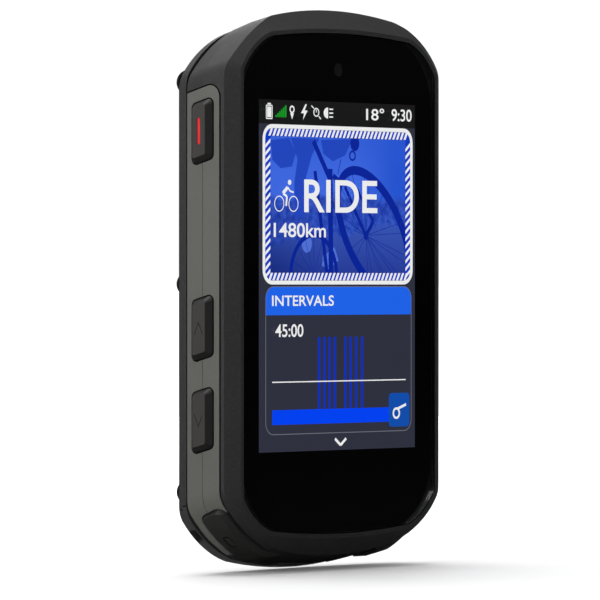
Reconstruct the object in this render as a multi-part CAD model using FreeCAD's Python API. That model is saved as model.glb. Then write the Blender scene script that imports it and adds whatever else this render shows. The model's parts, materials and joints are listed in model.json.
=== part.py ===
import FreeCAD, Part
import os
from math import cos, hypot, radians, sin, sqrt, tan

# Cycling computer. Millimetres. +Z runs up the screen, the screen faces -Y, +X is to its right.
# The origin is the centre of the end face of the quarter-turn boss on the back.
# "Depth" is measured backwards from the face of the cover glass.

# ---- driving dimensions ----------------------------------------------------------------
TOTAL_DEPTH = 16.5          # glass face to the end of the quarter-turn boss
SHEAR = 15.0                # the casing drops towards the back at this angle, degrees
SHEAR_START = 2.5           # depth at which the outline stands at its nominal height

# An outline form: half width, height where the side ends, shoulder x and z, end z,
# radius of the corner edge, and the two rounding radii of its kinks.
BODY_HALF_WIDTH = 27.2
BODY_HALF_HEIGHT = 44.2
BODY_SIDE_END = 10.2        # from the end of the side line to the end of the outline
BODY_SHOULDER = (11.7, 1.5)  # from the side and from the end
BODY_CORNER_RADIUS = 26.0
BODY_KINKS = (4.0, 5.0)

GLASS_HALF_WIDTH = BODY_HALF_WIDTH - 3.2
GLASS_HALF_HEIGHT = BODY_HALF_HEIGHT - 3.9
GLASS_SIDE_END = 6.4
GLASS_SHOULDER = (6.7, 0.95)
GLASS_CORNER_RADIUS = 12.5
GLASS_KINKS = (1.2, 1.8)

FRONT_TAPER = 0.18          # the side leans in by this much towards the bezel
REAR_TAPER = 0.10           # and by this much towards the seam
WAIST_DEPTH = 5.8           # where the side is widest
LIP_WIDTH = 0.75
LIP_PROUD = 0.10
BEZEL_SLOPE = 1.38          # outward run of the bezel for each unit of depth

GLASS_THICKNESS = 1.10
GLASS_GAP = 0.08
GLUE_THICKNESS = 0.15
LEDGE_WIDTH = 2.2
LEDGE_BACK = 3.2
WALL = 1.4
BAND_THICKNESS = 0.9
BAND_FRONT = 2.5
BAND_TOP = BODY_HALF_HEIGHT - 12.3    # height of the band's end at its front edge
BAND_CORNER = 1.8
BAND_GROOVE = 0.36           # the dark line round each band
BAND_END = BODY_HALF_WIDTH - 9.7    # each band stops this far from the middle of the bottom
PARTING_LINE = (0.09, 0.05)  # width and depth of the line along a band's waist
SKIN_GAP = 0.05             # between the band and the wall behind it

SEAM_FRONT = TOTAL_DEPTH - 7.35
SEAM_REAR = SEAM_FRONT + 0.35
REAR_INSET = 0.25           # the back's edge strip stands this far inside the side
REAR_END_INSET = 0.35       # and this far inside the ends
REAR_SIDE_END = 9.3
REAR_SHOULDER = (11.0, 1.5)
REAR_CORNER_RADIUS = 21.0
FLANGE_BACK = SEAM_REAR + 1.7
BULGE_INSET = 4.7
BULGE_SLOPE = 2.0
REAR_FACE = TOTAL_DEPTH - 3.2
REAR_WALL = 1.6
REAR_EDGE_RADIUS = 0.25
SEAL_INSET = (0.95, 1.40)

ACTIVE_WIDTH = 2 * GLASS_HALF_WIDTH - 8.67
ACTIVE_HEIGHT = 2 * GLASS_HALF_HEIGHT - 24.42
ACTIVE_CENTRE = 1.2
PANEL_BORDER = 1.7
PANEL_CHIN = 4.6
PANEL_THICKNESS = 1.0
BACKLIGHT_THICKNESS = 0.8

CHASSIS_FRONT = 3.35
CHASSIS_THICKNESS = 0.8
CHASSIS_BOTTOM = 5.2 - BODY_HALF_HEIGHT
BOARD_FRONT = CHASSIS_FRONT + 1.25
BOARD_THICKNESS = 0.8
BOARD_INSET = 4.2
BOARD_BOTTOM = 6.7 - BODY_HALF_HEIGHT
BOARD_TOP = BODY_HALF_HEIGHT - 7.2

BATTERY_WIDTH = 2 * BODY_HALF_WIDTH - 18.4
BATTERY_HEIGHT = 2 * BODY_HALF_HEIGHT - 40.4
BATTERY_THICKNESS = 4.0
BATTERY_CENTRE = 0.0
FOAM_THICKNESS = 0.4

REAR_SCREW_X = BODY_HALF_WIDTH - 2.3
REAR_SCREW_HEIGHTS = (BODY_HALF_HEIGHT - 12.2, -0.1, 11.0 - BODY_HALF_HEIGHT)
REAR_SCREW_RADIUS = 0.8
REAR_SCREW_HEAD = (2.0, 1.5)
REAR_SCREW_END = 5.6
BOSS_RADIUS = 1.8

BUTTON_FRONT = 3.75         # depth of the front edge of a side button
BUTTON_BACK = 8.0
BUTTON_HEIGHT = 9.6
BUTTON_BEVEL = 0.8
BUTTON_PROUD = 0.95
BUTTON_CORNER = 0.8
BUTTON_GAP = 0.22
BUTTON_TRAVEL = 0.35
POWER_HEIGHT = BODY_HALF_HEIGHT - 20.1
LOWER_HEIGHT = 22.5 - BODY_HALF_HEIGHT
UPPER_HEIGHT = LOWER_HEIGHT + BUTTON_HEIGHT + 5.0
ICON_DEPTH = 0.2
FLANGE_THICKNESS = 0.5
STEM_RADIUS = 0.8
SEAL_THICKNESS = 0.3
RUN_GAP = 0.1               # sliding clearance inside

CORNER_BUTTON_FRONT = BAND_FRONT + 0.12
CORNER_BUTTON_BACK = 7.5
CORNER_BUTTON_PROUD = 0.7
CORNER_BUTTON_END = (BODY_HALF_WIDTH - 0.9, 7.3 - BODY_HALF_HEIGHT)    # where its upper end meets the casing
CORNER_BUTTON_INNER = BODY_HALF_WIDTH - 15.2
CORNER_RUN_OUT = 3.5        # length over which its inner end runs out
CORNER_BUTTON_STEM = BODY_HALF_WIDTH - 13.2
CORNER_BUTTON_LEAN = 17.0   # direction of travel, degrees from vertical
CORNER_BUTTON_GAP = 0.22
CORNER_BUTTON_ROUND = 1.5    # radius of the two corners of its upper end
CORNER_MARK_TURN = 56.0      # the mark lies where the corner faces this far below the side
CORNER_BUTTON_TURN = 55.6    # the upper end faces along the edge at this angle, degrees
CORNER_END_GAP = 0.3

CAP_SEAM = 8.9 - BODY_HALF_HEIGHT    # height of the seam above the weather cap
CAP_GAP = 0.2
CAP_LIP = (0.7, 0.12)       # size of the lip under the seam and its clearance
CAP_FLOOR = FLANGE_BACK - 0.7    # depth of the casing behind the cap
CAP_SKIRT = 0.5
CAP_AXIS_DROP = 0.8            # hinge line below the seam
CAP_AXIS_INSET = 0.8           # hinge line in front of the back face
CAP_ROLL_RADIUS = 0.7
CAP_BEAD_RADIUS = 0.4
CAP_BEAD_GAP = 0.05
CAP_SWING = 110.0              # degrees the cap opens
KNUCKLE_RADIUS = 0.75
KNUCKLE_SPAN = (10.5, 16.5)
KNUCKLE_GAP = 0.2

PORT_DEPTH = REAR_FACE - 2.9    # depth of the port's centre line
PORT_SIZE = (8.94, 3.26, 7.30)
PORT_CORNER = 1.28
PORT_WALL = 0.30
PORT_MOUTH_DROP = 0.0       # below the seam
TROUGH_HALF_WIDTH = 6.4
PLUG_HALF_THICKNESS = 2.9   # the thickest plug body the trough takes
TROUGH_WALL = 0.55

TETHER_SLOT = (3.0, 1.35)   # along the corner and in depth
TETHER_AT = (BODY_HALF_WIDTH - 3.8, SEAM_REAR + 0.8)    # x and depth where it enters the corner
TETHER_REACH = (1.2, 2.6)   # from the corner's skin to the bar's back and the slot's floor
TETHER_TURN = 50.0          # the slot faces this far below the side, degrees

NECK_RADIUS = 12.65
TAB_RADIUS = 15.3
TAB_WIDTH = 10.0
TAB_THICKNESS = 1.6
MOUNT_FLANGE_RADIUS = 17.0
MOUNT_FLANGE_THICKNESS = 0.8
MOUNT_DISH_RADIUS = 9.0
MOUNT_DISH_DEPTH = 0.8

LEFT, RIGHT = -1, 1
V = FreeCAD.Vector
X_AXIS, Y_AXIS, Z_AXIS = V(1, 0, 0), V(0, 1, 0), V(0, 0, 1)
SLOPE = tan(radians(SHEAR))
WALL_INSET = BAND_THICKNESS + WALL
BUTTON_MIDDLE = (BUTTON_FRONT + BUTTON_BACK) / 2
CAP_AXIS_HEIGHT = CAP_SEAM - CAP_AXIS_DROP
CAP_AXIS_DEPTH = REAR_FACE - CAP_AXIS_INSET
TROUGH_FLOOR = PORT_DEPTH - PLUG_HALF_THICKNESS
BOARD_BACK = BOARD_FRONT + BOARD_THICKNESS
REAR_WALL_INNER = REAR_FACE - REAR_WALL
REACH = 80.0                # longer than anything in the model


class Form:
    """An outline with straight sides, arched ends and a curved edge across each corner."""

    def __init__(self, half_width, half_height, side_end, shoulder, corner_radius, kinks):
        self.half_width = half_width
        self.half_height = half_height
        self.kinks = kinks
        side = (half_width, half_height - side_end)
        top = (half_width - shoulder[0], half_height - shoulder[1])
        chord = hypot(side[0] - top[0], side[1] - top[1])
        back = sqrt(corner_radius ** 2 - (chord / 2) ** 2)
        along = ((top[0] - side[0]) / chord, (top[1] - side[1]) / chord)
        self.corner_radius = corner_radius
        self.corner_centre = ((side[0] + top[0]) / 2 - along[1] * back,
                              (side[1] + top[1]) / 2 + along[0] * back)
        self.end_radius = (top[0] ** 2 + shoulder[1] ** 2) / (2 * shoulder[1])
        self.end_centre = (0.0, half_height - self.end_radius)


BODY = Form(BODY_HALF_WIDTH, BODY_HALF_HEIGHT, BODY_SIDE_END, BODY_SHOULDER, BODY_CORNER_RADIUS,
            BODY_KINKS)
GLASS = Form(GLASS_HALF_WIDTH, GLASS_HALF_HEIGHT, GLASS_SIDE_END, GLASS_SHOULDER,
             GLASS_CORNER_RADIUS, GLASS_KINKS)
REAR = Form(BODY_HALF_WIDTH - REAR_INSET, BODY_HALF_HEIGHT - REAR_END_INSET, REAR_SIDE_END,
            REAR_SHOULDER, REAR_CORNER_RADIUS, BODY_KINKS)


# ---- plane geometry --------------------------------------------------------------------
def back_from(depth):
    return depth - TOTAL_DEPTH


def drop_at(depth):
    """How far the casing's outline has dropped at this depth."""
    return (depth - SHEAR_START) * SLOPE


def circles_meet(first, first_radius, second, second_radius):
    """The meeting point of two circles that lies furthest up and to the right."""
    dx, dz = second[0] - first[0], second[1] - first[1]
    gap = hypot(dx, dz)
    along = (first_radius ** 2 - second_radius ** 2 + gap ** 2) / (2 * gap)
    aside = sqrt(first_radius ** 2 - along ** 2)
    middle = (first[0] + along * dx / gap, first[1] + along * dz / gap)
    points = [(middle[0] + side * aside * dz / gap, middle[1] - side * aside * dx / gap)
              for side in (1, -1)]
    return max(points, key=lambda p: p[0] + p[1])


def from_centre(centre, radius, towards):
    """The point on a circle in the direction of another point."""
    dx, dz = towards[0] - centre[0], towards[1] - centre[1]
    length = hypot(dx, dz)
    return (centre[0] + radius * dx / length, centre[1] + radius * dz / length)


def middle_of_arc(centre, radius, start, end):
    return from_centre(centre, radius, ((start[0] + end[0]) / 2, (start[1] + end[1]) / 2))


def quarter(form, grow):
    """The arcs of the upper right corner, each as start, middle and end."""
    side = form.half_width + grow
    corner_radius = form.corner_radius + grow
    end_radius = form.end_radius + grow
    low, high = [max(kink + grow, 0.4) for kink in form.kinks]
    cx, cz = form.corner_centre
    low_centre = (side - low, cz + sqrt((corner_radius - low) ** 2 - (side - low - cx) ** 2))
    high_centre = circles_meet(form.corner_centre, corner_radius - high,
                               form.end_centre, end_radius - high)
    p1 = (side, low_centre[1])
    p2 = from_centre(form.corner_centre, corner_radius, low_centre)
    p3 = from_centre(form.corner_centre, corner_radius, high_centre)
    p4 = from_centre(form.end_centre, end_radius, high_centre)
    return [(p1, middle_of_arc(low_centre, low, p1, p2), p2),
            (p2, middle_of_arc(form.corner_centre, corner_radius, p2, p3), p3),
            (p3, middle_of_arc(high_centre, high, p3, p4), p4)]


def outline(form, grow, depth, drop=0.0):
    """The closed outline of a form, grown outwards, standing at a depth."""
    corner = quarter(form, grow)
    end = form.half_height + grow

    def place(point, sx, sz):
        return V(sx * point[0], back_from(depth), sz * point[1] - drop)

    edges = []
    for sx, sz in ((1, 1), (-1, 1), (-1, -1), (1, -1)):
        arcs = corner if sx * sz > 0 else [arc[::-1] for arc in corner[::-1]]
        if sx * sz > 0:
            run_start, run_end = place(arcs[0][0], sx, -sz), place(arcs[0][0], sx, sz)
            edges.append(Part.makeLine(run_start, run_end))
        edges += [Part.Arc(*[place(p, sx, sz) for p in arc]).toShape() for arc in arcs]
        if sx * sz > 0:
            last = arcs[-1][2]
            edges.append(Part.Arc(place(last, sx, sz), place((0, end), sx, sz),
                                  place(last, -sx, sz)).toShape())
    return Part.Wire(edges)


def rounded(points, radius):
    """A closed wire through the points of a plane polygon with every corner rounded."""
    edges = []
    count = len(points)
    starts, ends = [], []
    for i, point in enumerate(points):
        before = (points[i - 1] - point).normalize()
        after = (points[(i + 1) % count] - point).normalize()
        half = before.getAngle(after) / 2
        reach = radius / tan(half)
        towards = (before + after).normalize()
        starts.append(point + before * reach)
        ends.append(point + after * reach)
        middle = point + towards * (radius / sin(half) - radius)
        edges.append(Part.Arc(starts[i], middle, ends[i]).toShape())
    closed = []
    for i in range(count):
        closed.append(edges[i])
        closed.append(Part.makeLine(ends[i], starts[(i + 1) % count]))
    return Part.Wire(closed)


# ---- solids ----------------------------------------------------------------------------
def between(wires):
    return Part.makeLoft(wires, True, True)


def skin(grows, form=BODY):
    """A leaning outline run back through pairs of depth and grow."""
    return between([outline(form, grow, depth, drop_at(depth)) for depth, grow in grows])


def straight(form, grow, front, back):
    """A form run straight back between two depths."""
    return between([outline(form, grow, front), outline(form, grow, back)])


def block(x, depth, z):
    """A box from its low and high values of x, depth and z."""
    return Part.makeBox(x[1] - x[0], depth[1] - depth[0], z[1] - z[0],
                        V(x[0], back_from(depth[0]), z[0]))


def centred(width, depth, height, x=0.0, z=0.0):
    """A box centred across x and z between two depths."""
    return block((x - width / 2, x + width / 2), depth, (z - height / 2, z + height / 2))


def post(radius, depth, x, z):
    """A cylinder that runs straight back."""
    return Part.makeCylinder(radius, depth[1] - depth[0], V(x, back_from(depth[0]), z), Y_AXIS)


def across(radius, x, depth, z):
    """A cylinder that runs across the casing."""
    return Part.makeCylinder(radius, x[1] - x[0], V(x[0], back_from(depth), z), X_AXIS)


def polygon_run(points, direction):
    return Part.Face(Part.makePolygon(points + points[:1])).extrude(direction)


def mirrored(shape):
    return shape.mirror(V(0, 0, 0), X_AXIS)


def on_side(shape, side):
    """Shapes are drawn on the left; the right hand one is its mirror image."""
    return shape if side == LEFT else mirrored(shape)


def edges_along(shape, direction, test=lambda centre: True):
    """The straight edges of a shape that run in a direction."""
    found = []
    for edge in shape.Edges:
        if isinstance(edge.Curve, Part.Line):
            run = (edge.Vertexes[-1].Point - edge.Vertexes[0].Point).normalize()
            if run.cross(direction).Length < 1e-6 and test(edge.CenterOfMass):
                found.append(edge)
    return found


def rounded_box(width, depth, height, radius, x=0.0, z=0.0):
    """A centred box with the four edges that run straight back rounded."""
    box = centred(width, depth, height, x, z)
    return box.makeFillet(radius, edges_along(box, Y_AXIS))


# ---- side buttons ----------------------------------------------------------------------
def button_wire(x, height, grow=0.0):
    """The leaning outline of a side button in a plane of constant x."""
    front, back = BUTTON_FRONT - grow, BUTTON_BACK + grow
    half = BUTTON_HEIGHT / 2 + grow
    lean_front = (BUTTON_MIDDLE - front) * SLOPE
    lean_back = (BUTTON_MIDDLE - back) * SLOPE
    corners = [V(x, back_from(front), height + half + lean_front),
               V(x, back_from(back), height + half + lean_back),
               V(x, back_from(back), height - half + lean_back),
               V(x, back_from(front), height - half + lean_front)]
    return rounded(corners, max(BUTTON_CORNER + grow, 0.3))


def chevron(height, up):
    """A groove in the face of a button, pointing up or down."""
    face = -BODY_HALF_WIDTH - BUTTON_PROUD
    half_width, rise, stroke = 0.85, 1.9, 0.3
    tip = rise / 2 if up else -rise / 2
    y = back_from(BUTTON_MIDDLE)
    line = [(-half_width, -tip), (0.0, tip), (half_width, -tip)]
    outer = [V(face, y + a, height + b + stroke / 2) for a, b in line]
    inner = [V(face, y + a, height + b - stroke / 2) for a, b in reversed(line)]
    return polygon_run(outer + inner, V(ICON_DEPTH, 0, 0)).translated(V(-ICON_DEPTH / 2, 0, 0))


def bar_wire(x, height, grow):
    width, length = 0.65 + 2 * grow, 4.2 + 2 * grow
    y = back_from(BUTTON_MIDDLE)
    corners = [V(x, y + a * width / 2, height + b * length / 2)
               for a, b in ((-1, 1), (1, 1), (1, -1), (-1, -1))]
    return rounded(corners, width / 2 - 0.05)


def power_inlay():
    face = -BODY_HALF_WIDTH - BUTTON_PROUD + 0.12
    return Part.Face(bar_wire(face, POWER_HEIGHT, 0.0)).extrude(V(0.5, 0, 0))


def side_button(height, mark):
    """A side button drawn on the left: cap, neck, retaining flange and stem."""
    base, face = -BODY_HALF_WIDTH, -BODY_HALF_WIDTH - BUTTON_PROUD
    cap = between([button_wire(base, height), button_wire(face, height, -BUTTON_BEVEL)])
    inner = -BODY_HALF_WIDTH + WALL_INSET
    flange_back = inner + RUN_GAP + FLANGE_THICKNESS
    neck = Part.Face(button_wire(base, height)).extrude(V(inner + RUN_GAP - base, 0, 0))
    flange = block((inner + RUN_GAP, flange_back), (BUTTON_FRONT - 0.4, BUTTON_BACK + 0.4),
                   (height - BUTTON_HEIGHT / 2 + 0.9, height + BUTTON_HEIGHT / 2 - 0.9))
    stem = across(STEM_RADIUS, (flange_back, switch_tip(LEFT) - 0.02), SWITCH_DEPTH, height)
    button = cap.fuse([neck, flange, stem]).removeSplitter()
    if mark == "power":
        recess = Part.Face(bar_wire(face - 0.5, height, 0.01)).extrude(V(1.13, 0, 0))
        return button.cut(recess)
    return button.cut(chevron(height, mark == "up"))


def side_openings():
    """The holes for the side buttons through the band and the wall."""
    cuts = []
    for side, height in SIDE_BUTTON_PLACES:
        hole = Part.Face(button_wire(-BODY_HALF_WIDTH - 2, height, BUTTON_GAP))
        hole = hole.extrude(V(2 + WALL_INSET + 1, 0, 0))
        cuts.append(on_side(hole, side))
    return cuts


SIDE_BUTTON_PLACES = [(LEFT, POWER_HEIGHT), (LEFT, UPPER_HEIGHT), (LEFT, LOWER_HEIGHT),
                      (RIGHT, UPPER_HEIGHT), (RIGHT, LOWER_HEIGHT)]


# ---- tact switches ---------------------------------------------------------------------
SWITCH_DEPTH = BOARD_BACK + 0.6
SWITCH_BODY = (2.2, 1.2, 3.6)        # along the push, in depth, and across
PLUNGER_REACH = 0.75
PLUNGER = (1.9, 0.7, 1.4)


def switch_tip(side):
    """Where the stem of a side button meets its switch."""
    flange_back = BODY_HALF_WIDTH - WALL_INSET - RUN_GAP - FLANGE_THICKNESS
    return side * (flange_back - BUTTON_TRAVEL - SEAL_THICKNESS - 2 * RUN_GAP)


def switch_pair(tip, turn):
    """A switch body and its plunger, pushed along the turned +X direction from the tip."""
    length, thick, wide = SWITCH_BODY
    reach, plunger_thick, plunger_wide = PLUNGER
    low = SWITCH_DEPTH - thick / 2
    body = block((PLUNGER_REACH, PLUNGER_REACH + length), (low, low + thick), (-wide / 2, wide / 2))
    bore = block((0, reach + BUTTON_TRAVEL + 0.15),
                 (SWITCH_DEPTH - plunger_thick / 2 - 0.05, SWITCH_DEPTH + plunger_thick / 2 + 0.05),
                 (-plunger_wide / 2 - 0.05, plunger_wide / 2 + 0.05))
    plunger = block((0, reach), (SWITCH_DEPTH - plunger_thick / 2, SWITCH_DEPTH + plunger_thick / 2),
                    (-plunger_wide / 2, plunger_wide / 2))
    pair = []
    for shape in (body.cut(bore), plunger):
        shape.rotate(V(0, 0, 0), Y_AXIS, -turn)
        shape.translate(V(tip[0], 0, tip[1]))
        pair.append(shape)
    return pair


# ---- the two corner buttons ------------------------------------------------------------
def lean(length, side=LEFT):
    """A step along the direction in which a corner button is pushed in."""
    angle = radians(CORNER_BUTTON_LEAN)
    return V(-side * sin(angle) * length, 0, cos(angle) * length)


def corner_directions():
    """Outwards from, and up along, the edge where a corner button's upper end lies."""
    angle = radians(CORNER_BUTTON_TURN)
    return V(-cos(angle), 0, -sin(angle)), V(-sin(angle), 0, cos(angle))


def corner_region(grow, spare=0.0):
    """The stretch of the lower left edge that a corner button takes, with spare at its top."""
    outward, along = corner_directions()
    start = V(-CORNER_BUTTON_END[0], 0, CORNER_BUTTON_END[1]) + along * (grow + spare)
    inner = V(-CORNER_BUTTON_INNER + grow, 0, 0)
    deep = start - outward * 9.0
    points = [start + outward * 12, deep, V(inner.x, 0, deep.z), V(inner.x, 0, -REACH),
              V(-REACH, 0, -REACH)]
    solid = polygon_run(points, V(0, 2 * REACH, 0))
    return solid.translated(V(0, -REACH, 0))


def corner_bar(front, back, outer, inner, grow=0.0, spare=0.0):
    """A length of the casing's edge between two depths and two outlines."""
    ring = skin([(front, outer), (back, outer)]).cut(skin([(front - 1, inner), (back + 1, inner)]))
    return ring.common(corner_region(grow, spare))


def corner_window(grow):
    """A prism with the rounded upper end of a corner button, looking straight at that end."""
    outward, along = corner_directions()
    start = V(-CORNER_BUTTON_END[0], 0, CORNER_BUTTON_END[1]) + along * grow - outward * 9
    front, back = CORNER_BUTTON_FRONT - grow, CORNER_BUTTON_BACK + grow
    slant = along * ((back - front) / 2 * SLOPE)
    upper, lower = start + slant, start - slant
    far = along * -40.0
    corners = [V(p.x, back_from(depth), p.z) for p, depth in
               ((upper, front), (lower, back), (lower + far, back), (upper + far, front))]
    return Part.Face(rounded(corners, CORNER_BUTTON_ROUND + grow)).extrude(outward * 24)


def loop_mark():
    """A rounded loop grooved into the lap button where it crosses the corner."""
    return corner_mark([(-1.35, 0.62), (1.35, 0.62), (1.35, -0.62), (-1.35, -0.62)], 0.5)


def triangle_mark():
    """A rounded triangle grooved into the start button where it crosses the corner."""
    return corner_mark([(-1.1, 1.0), (1.1, 0.0), (-1.1, -1.0)], 0.25)


def corner_mark(points, radius):
    """A closed groove about 0.25 wide, laid on the corner's edge and sunk into it."""
    stroke = 0.14
    middle = (CORNER_BUTTON_FRONT + CORNER_BUTTON_BACK) / 2
    flat = [V(a, b, 0) for a, b in points]
    line = rounded(flat, radius)
    outer = Part.Face(line.makeOffset2D(stroke))
    inner = Part.Face(line.makeOffset2D(-stroke))
    groove = outer.extrude(V(0, 0, 3)).cut(inner.extrude(V(0, 0, 3)))
    drop = drop_at(middle)
    centre = BODY.corner_centre
    angle = radians(CORNER_MARK_TURN)
    radius_here = BODY.corner_radius + CORNER_BUTTON_PROUD - ICON_DEPTH
    spot = V(-centre[0] - radius_here * cos(angle), back_from(middle),
             -centre[1] - radius_here * sin(angle) - drop)
    normal = V(-cos(angle), 0, -sin(angle))
    along = V(sin(angle), 0, -cos(angle))
    turn = FreeCAD.Matrix(along.x, 0, normal.x, spot.x,
                          0, 1, 0, spot.y,
                          along.z, 0, normal.z, spot.z,
                          0, 0, 0, 1)
    placed = groove.transformGeometry(turn)
    return placed


def corner_button(mark):
    """A corner button drawn on the left: ridge, neck, flange and stem."""
    front, back, proud = CORNER_BUTTON_FRONT, CORNER_BUTTON_BACK, CORNER_BUTTON_PROUD
    ridge = skin([(front, 0.1), (front + 0.65, proud), (back - 0.55, proud), (back, 0.25)])
    ridge = ridge.cut(skin([(front - 1, -0.5), (back + 1, -0.5)])).common(corner_region(0.0, 1.0))
    ridge = ridge.common(corner_window(0.0)).cut([end_facet(), run_out()])
    neck = corner_bar(front, back, 0.1, -WALL_INSET - RUN_GAP, 0.0, 1.0).common(corner_window(0.0))
    flange = corner_bar(front, back + 0.5, -WALL_INSET - RUN_GAP,
                        -WALL_INSET - RUN_GAP - FLANGE_THICKNESS, -1.0)
    foot = corner_stem_foot()
    tip = corner_switch_tip()
    stem = Part.makeCylinder(STEM_RADIUS, (tip - foot).Length - 0.02, foot, lean(1.0))
    return ridge.fuse([neck, flange, stem]).removeSplitter().cut(mark)


def end_facet():
    """The wedge taken off the upper end of a corner button."""
    outward, along = corner_directions()
    start = V(-CORNER_BUTTON_END[0], 0, CORNER_BUTTON_END[1])
    low = start + outward * 0.35
    high = start - along * 3.4 + outward * (CORNER_BUTTON_PROUD + 0.35)
    points = [low + along * 2, low, high, high + outward * 4, low + along * 2 + outward * 4]
    wedge = polygon_run(points, V(0, 2 * REACH, 0)).translated(V(0, -REACH, 0))
    return wedge.translated(V(0, 0, -drop_at((CORNER_BUTTON_FRONT + CORNER_BUTTON_BACK) / 2)))


def run_out():
    """The leaning wedge that brings a corner button's inner end down flush with the edge."""
    points = []
    for x, proud in ((CORNER_BUTTON_INNER, 0.12),
                     (CORNER_BUTTON_INNER + CORNER_RUN_OUT, CORNER_BUTTON_PROUD + 0.2)):
        z = BODY.end_centre[1] + sqrt((BODY.end_radius + proud) ** 2 - x ** 2)
        points.append(V(-x, back_from(0.0), -z - drop_at(0.0)))
    low, high = points
    along = (high - low).normalize()
    corners = [low - along * 3, high + along * 2, high + along * 2 + V(0, 0, -6),
               low - along * 3 + V(0, 0, -6)]
    return polygon_run(corners, V(0, SEAM_REAR, -SEAM_REAR * SLOPE))


def corner_stem_foot():
    """The middle of the root of a corner button's stem, inside its flange."""
    inset = WALL_INSET + RUN_GAP + FLANGE_THICKNESS / 2
    z = BODY.end_centre[1] + sqrt((BODY.end_radius - inset) ** 2 - CORNER_BUTTON_STEM ** 2)
    return V(-CORNER_BUTTON_STEM, back_from(SWITCH_DEPTH), -z - drop_at(SWITCH_DEPTH))


def corner_switch_tip():
    reach = FLANGE_THICKNESS / 2 + BUTTON_TRAVEL + SEAL_THICKNESS + 4 * RUN_GAP + 0.9
    return corner_stem_foot() + lean(reach)


def corner_openings():
    """The holes for the corner buttons through the band and the wall."""
    gap = CORNER_BUTTON_GAP
    hole = corner_bar(CORNER_BUTTON_FRONT - gap, CORNER_BUTTON_BACK + gap, 3.0,
                      -WALL_INSET - 1.0, CORNER_END_GAP, 1.0).common(corner_window(gap))
    return [hole, mirrored(hole)]


# ---- casing ----------------------------------------------------------------------------
def body_blank():
    """The front casing before it is hollowed: leaning sides met by the sloping bezel."""
    deep = 4.0
    sides = skin([(-1.0, -FRONT_TAPER * 1.8), (WAIST_DEPTH, 0.0), (SEAM_FRONT, -REAR_TAPER)])
    cone = between([outline(GLASS, LIP_WIDTH, -LIP_PROUD),
                    outline(GLASS, LIP_WIDTH + BEZEL_SLOPE * (deep + LIP_PROUD), deep)])
    front = block((-REACH, REACH), (-2.0, deep), (-REACH, REACH)).cut(cone)
    return sides.cut(front)


def band_profile(grow, x):
    """The side view of the band: its front edge and its leaning, rounded upper end."""
    front, back = BAND_FRONT - grow, SEAM_FRONT + 5
    top_front = BAND_TOP + grow
    top_back = top_front - (back - front) * SLOPE
    corners = [V(x, back_from(front), top_front), V(x, back_from(back), top_back),
               V(x, back_from(back), -REACH), V(x, back_from(front), -REACH)]
    first = (corners[3] - corners[0]).normalize()
    second = (corners[1] - corners[0]).normalize()
    half = first.getAngle(second) / 2
    radius = BAND_CORNER + grow
    start = corners[0] + first * (radius / tan(half))
    end = corners[0] + second * (radius / tan(half))
    middle = corners[0] + (first + second).normalize() * (radius / sin(half) - radius)
    edges = [Part.Arc(start, middle, end).toShape(), Part.makeLine(end, corners[1]),
             Part.makeLine(corners[1], corners[2]), Part.makeLine(corners[2], corners[3]),
             Part.makeLine(corners[3], start)]
    return Part.Face(Part.Wire(edges)).extrude(V(2 * REACH, 0, 0))


def band_zone(grow):
    """The stretch of the sides under the two bands, which leaves the middle of the bottom."""
    middle = block((-BAND_END + grow, BAND_END - grow), (-5.0, 60.0), (-REACH, 0))
    return band_profile(grow, -REACH).cut(middle)


def inner_skin(inset, form=BODY, front=-2.0, back=20.0):
    return skin([(front, -inset), (back, -inset)], form)


def side_bands(blank):
    """The left and right bands, each let into the side of the housing."""
    width, deep = PARTING_LINE
    line = skin([(WAIST_DEPTH - width / 2, 1.0), (WAIST_DEPTH + width / 2, 1.0)])
    line = line.cut(inner_skin(deep)).common(below(POWER_HEIGHT))
    bands = blank.common(band_zone(0.0)).cut(inner_skin(BAND_THICKNESS))
    bands = bands.cut(side_openings() + corner_openings() + [line])
    left = bands.common(block((-REACH, 0), (-5.0, 60.0), (-REACH, REACH)))
    return left, bands.cut(left)


def front_housing(blank):
    housing = blank.cut(band_zone(BAND_GROOVE).cut(inner_skin(BAND_THICKNESS + SKIN_GAP)))
    cavity = skin([(LEDGE_BACK, -WALL_INSET), (SEAM_FRONT + 2, -WALL_INSET)])
    pocket = straight(GLASS, GLASS_GAP, -2.0, GLASS_THICKNESS + GLUE_THICKNESS)
    window = straight(GLASS, -LEDGE_WIDTH, 0.5, LEDGE_BACK + 0.5)
    housing = housing.cut([cavity, pocket, window])
    shell = inner_skin(BAND_THICKNESS + 0.4)
    bosses = [post(BOSS_RADIUS, (BOARD_FRONT, SEAM_FRONT), side * REAR_SCREW_X, z).common(shell)
              for side in (LEFT, RIGHT) for z in REAR_SCREW_HEIGHTS]
    housing = housing.fuse(bosses)
    bores = [post(REAR_SCREW_RADIUS + 0.01, (REAR_SCREW_END - 0.2, SEAM_FRONT + 1),
                  side * REAR_SCREW_X, z) for side in (LEFT, RIGHT) for z in REAR_SCREW_HEIGHTS]
    bores += [post(CHASSIS_SCREW[0] + 0.01, (CHASSIS_SCREW_END - 0.1, LEDGE_BACK + 0.1), x, z)
              for x, z in CHASSIS_SCREW_PLACES]
    sight = post(SENSOR_RADIUS + 0.4, (0, LEDGE_BACK + 1), 0, SENSOR_HEIGHT)
    return housing.cut(bores + side_openings() + corner_openings() + [trough_zone(0.15), sight])


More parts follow.
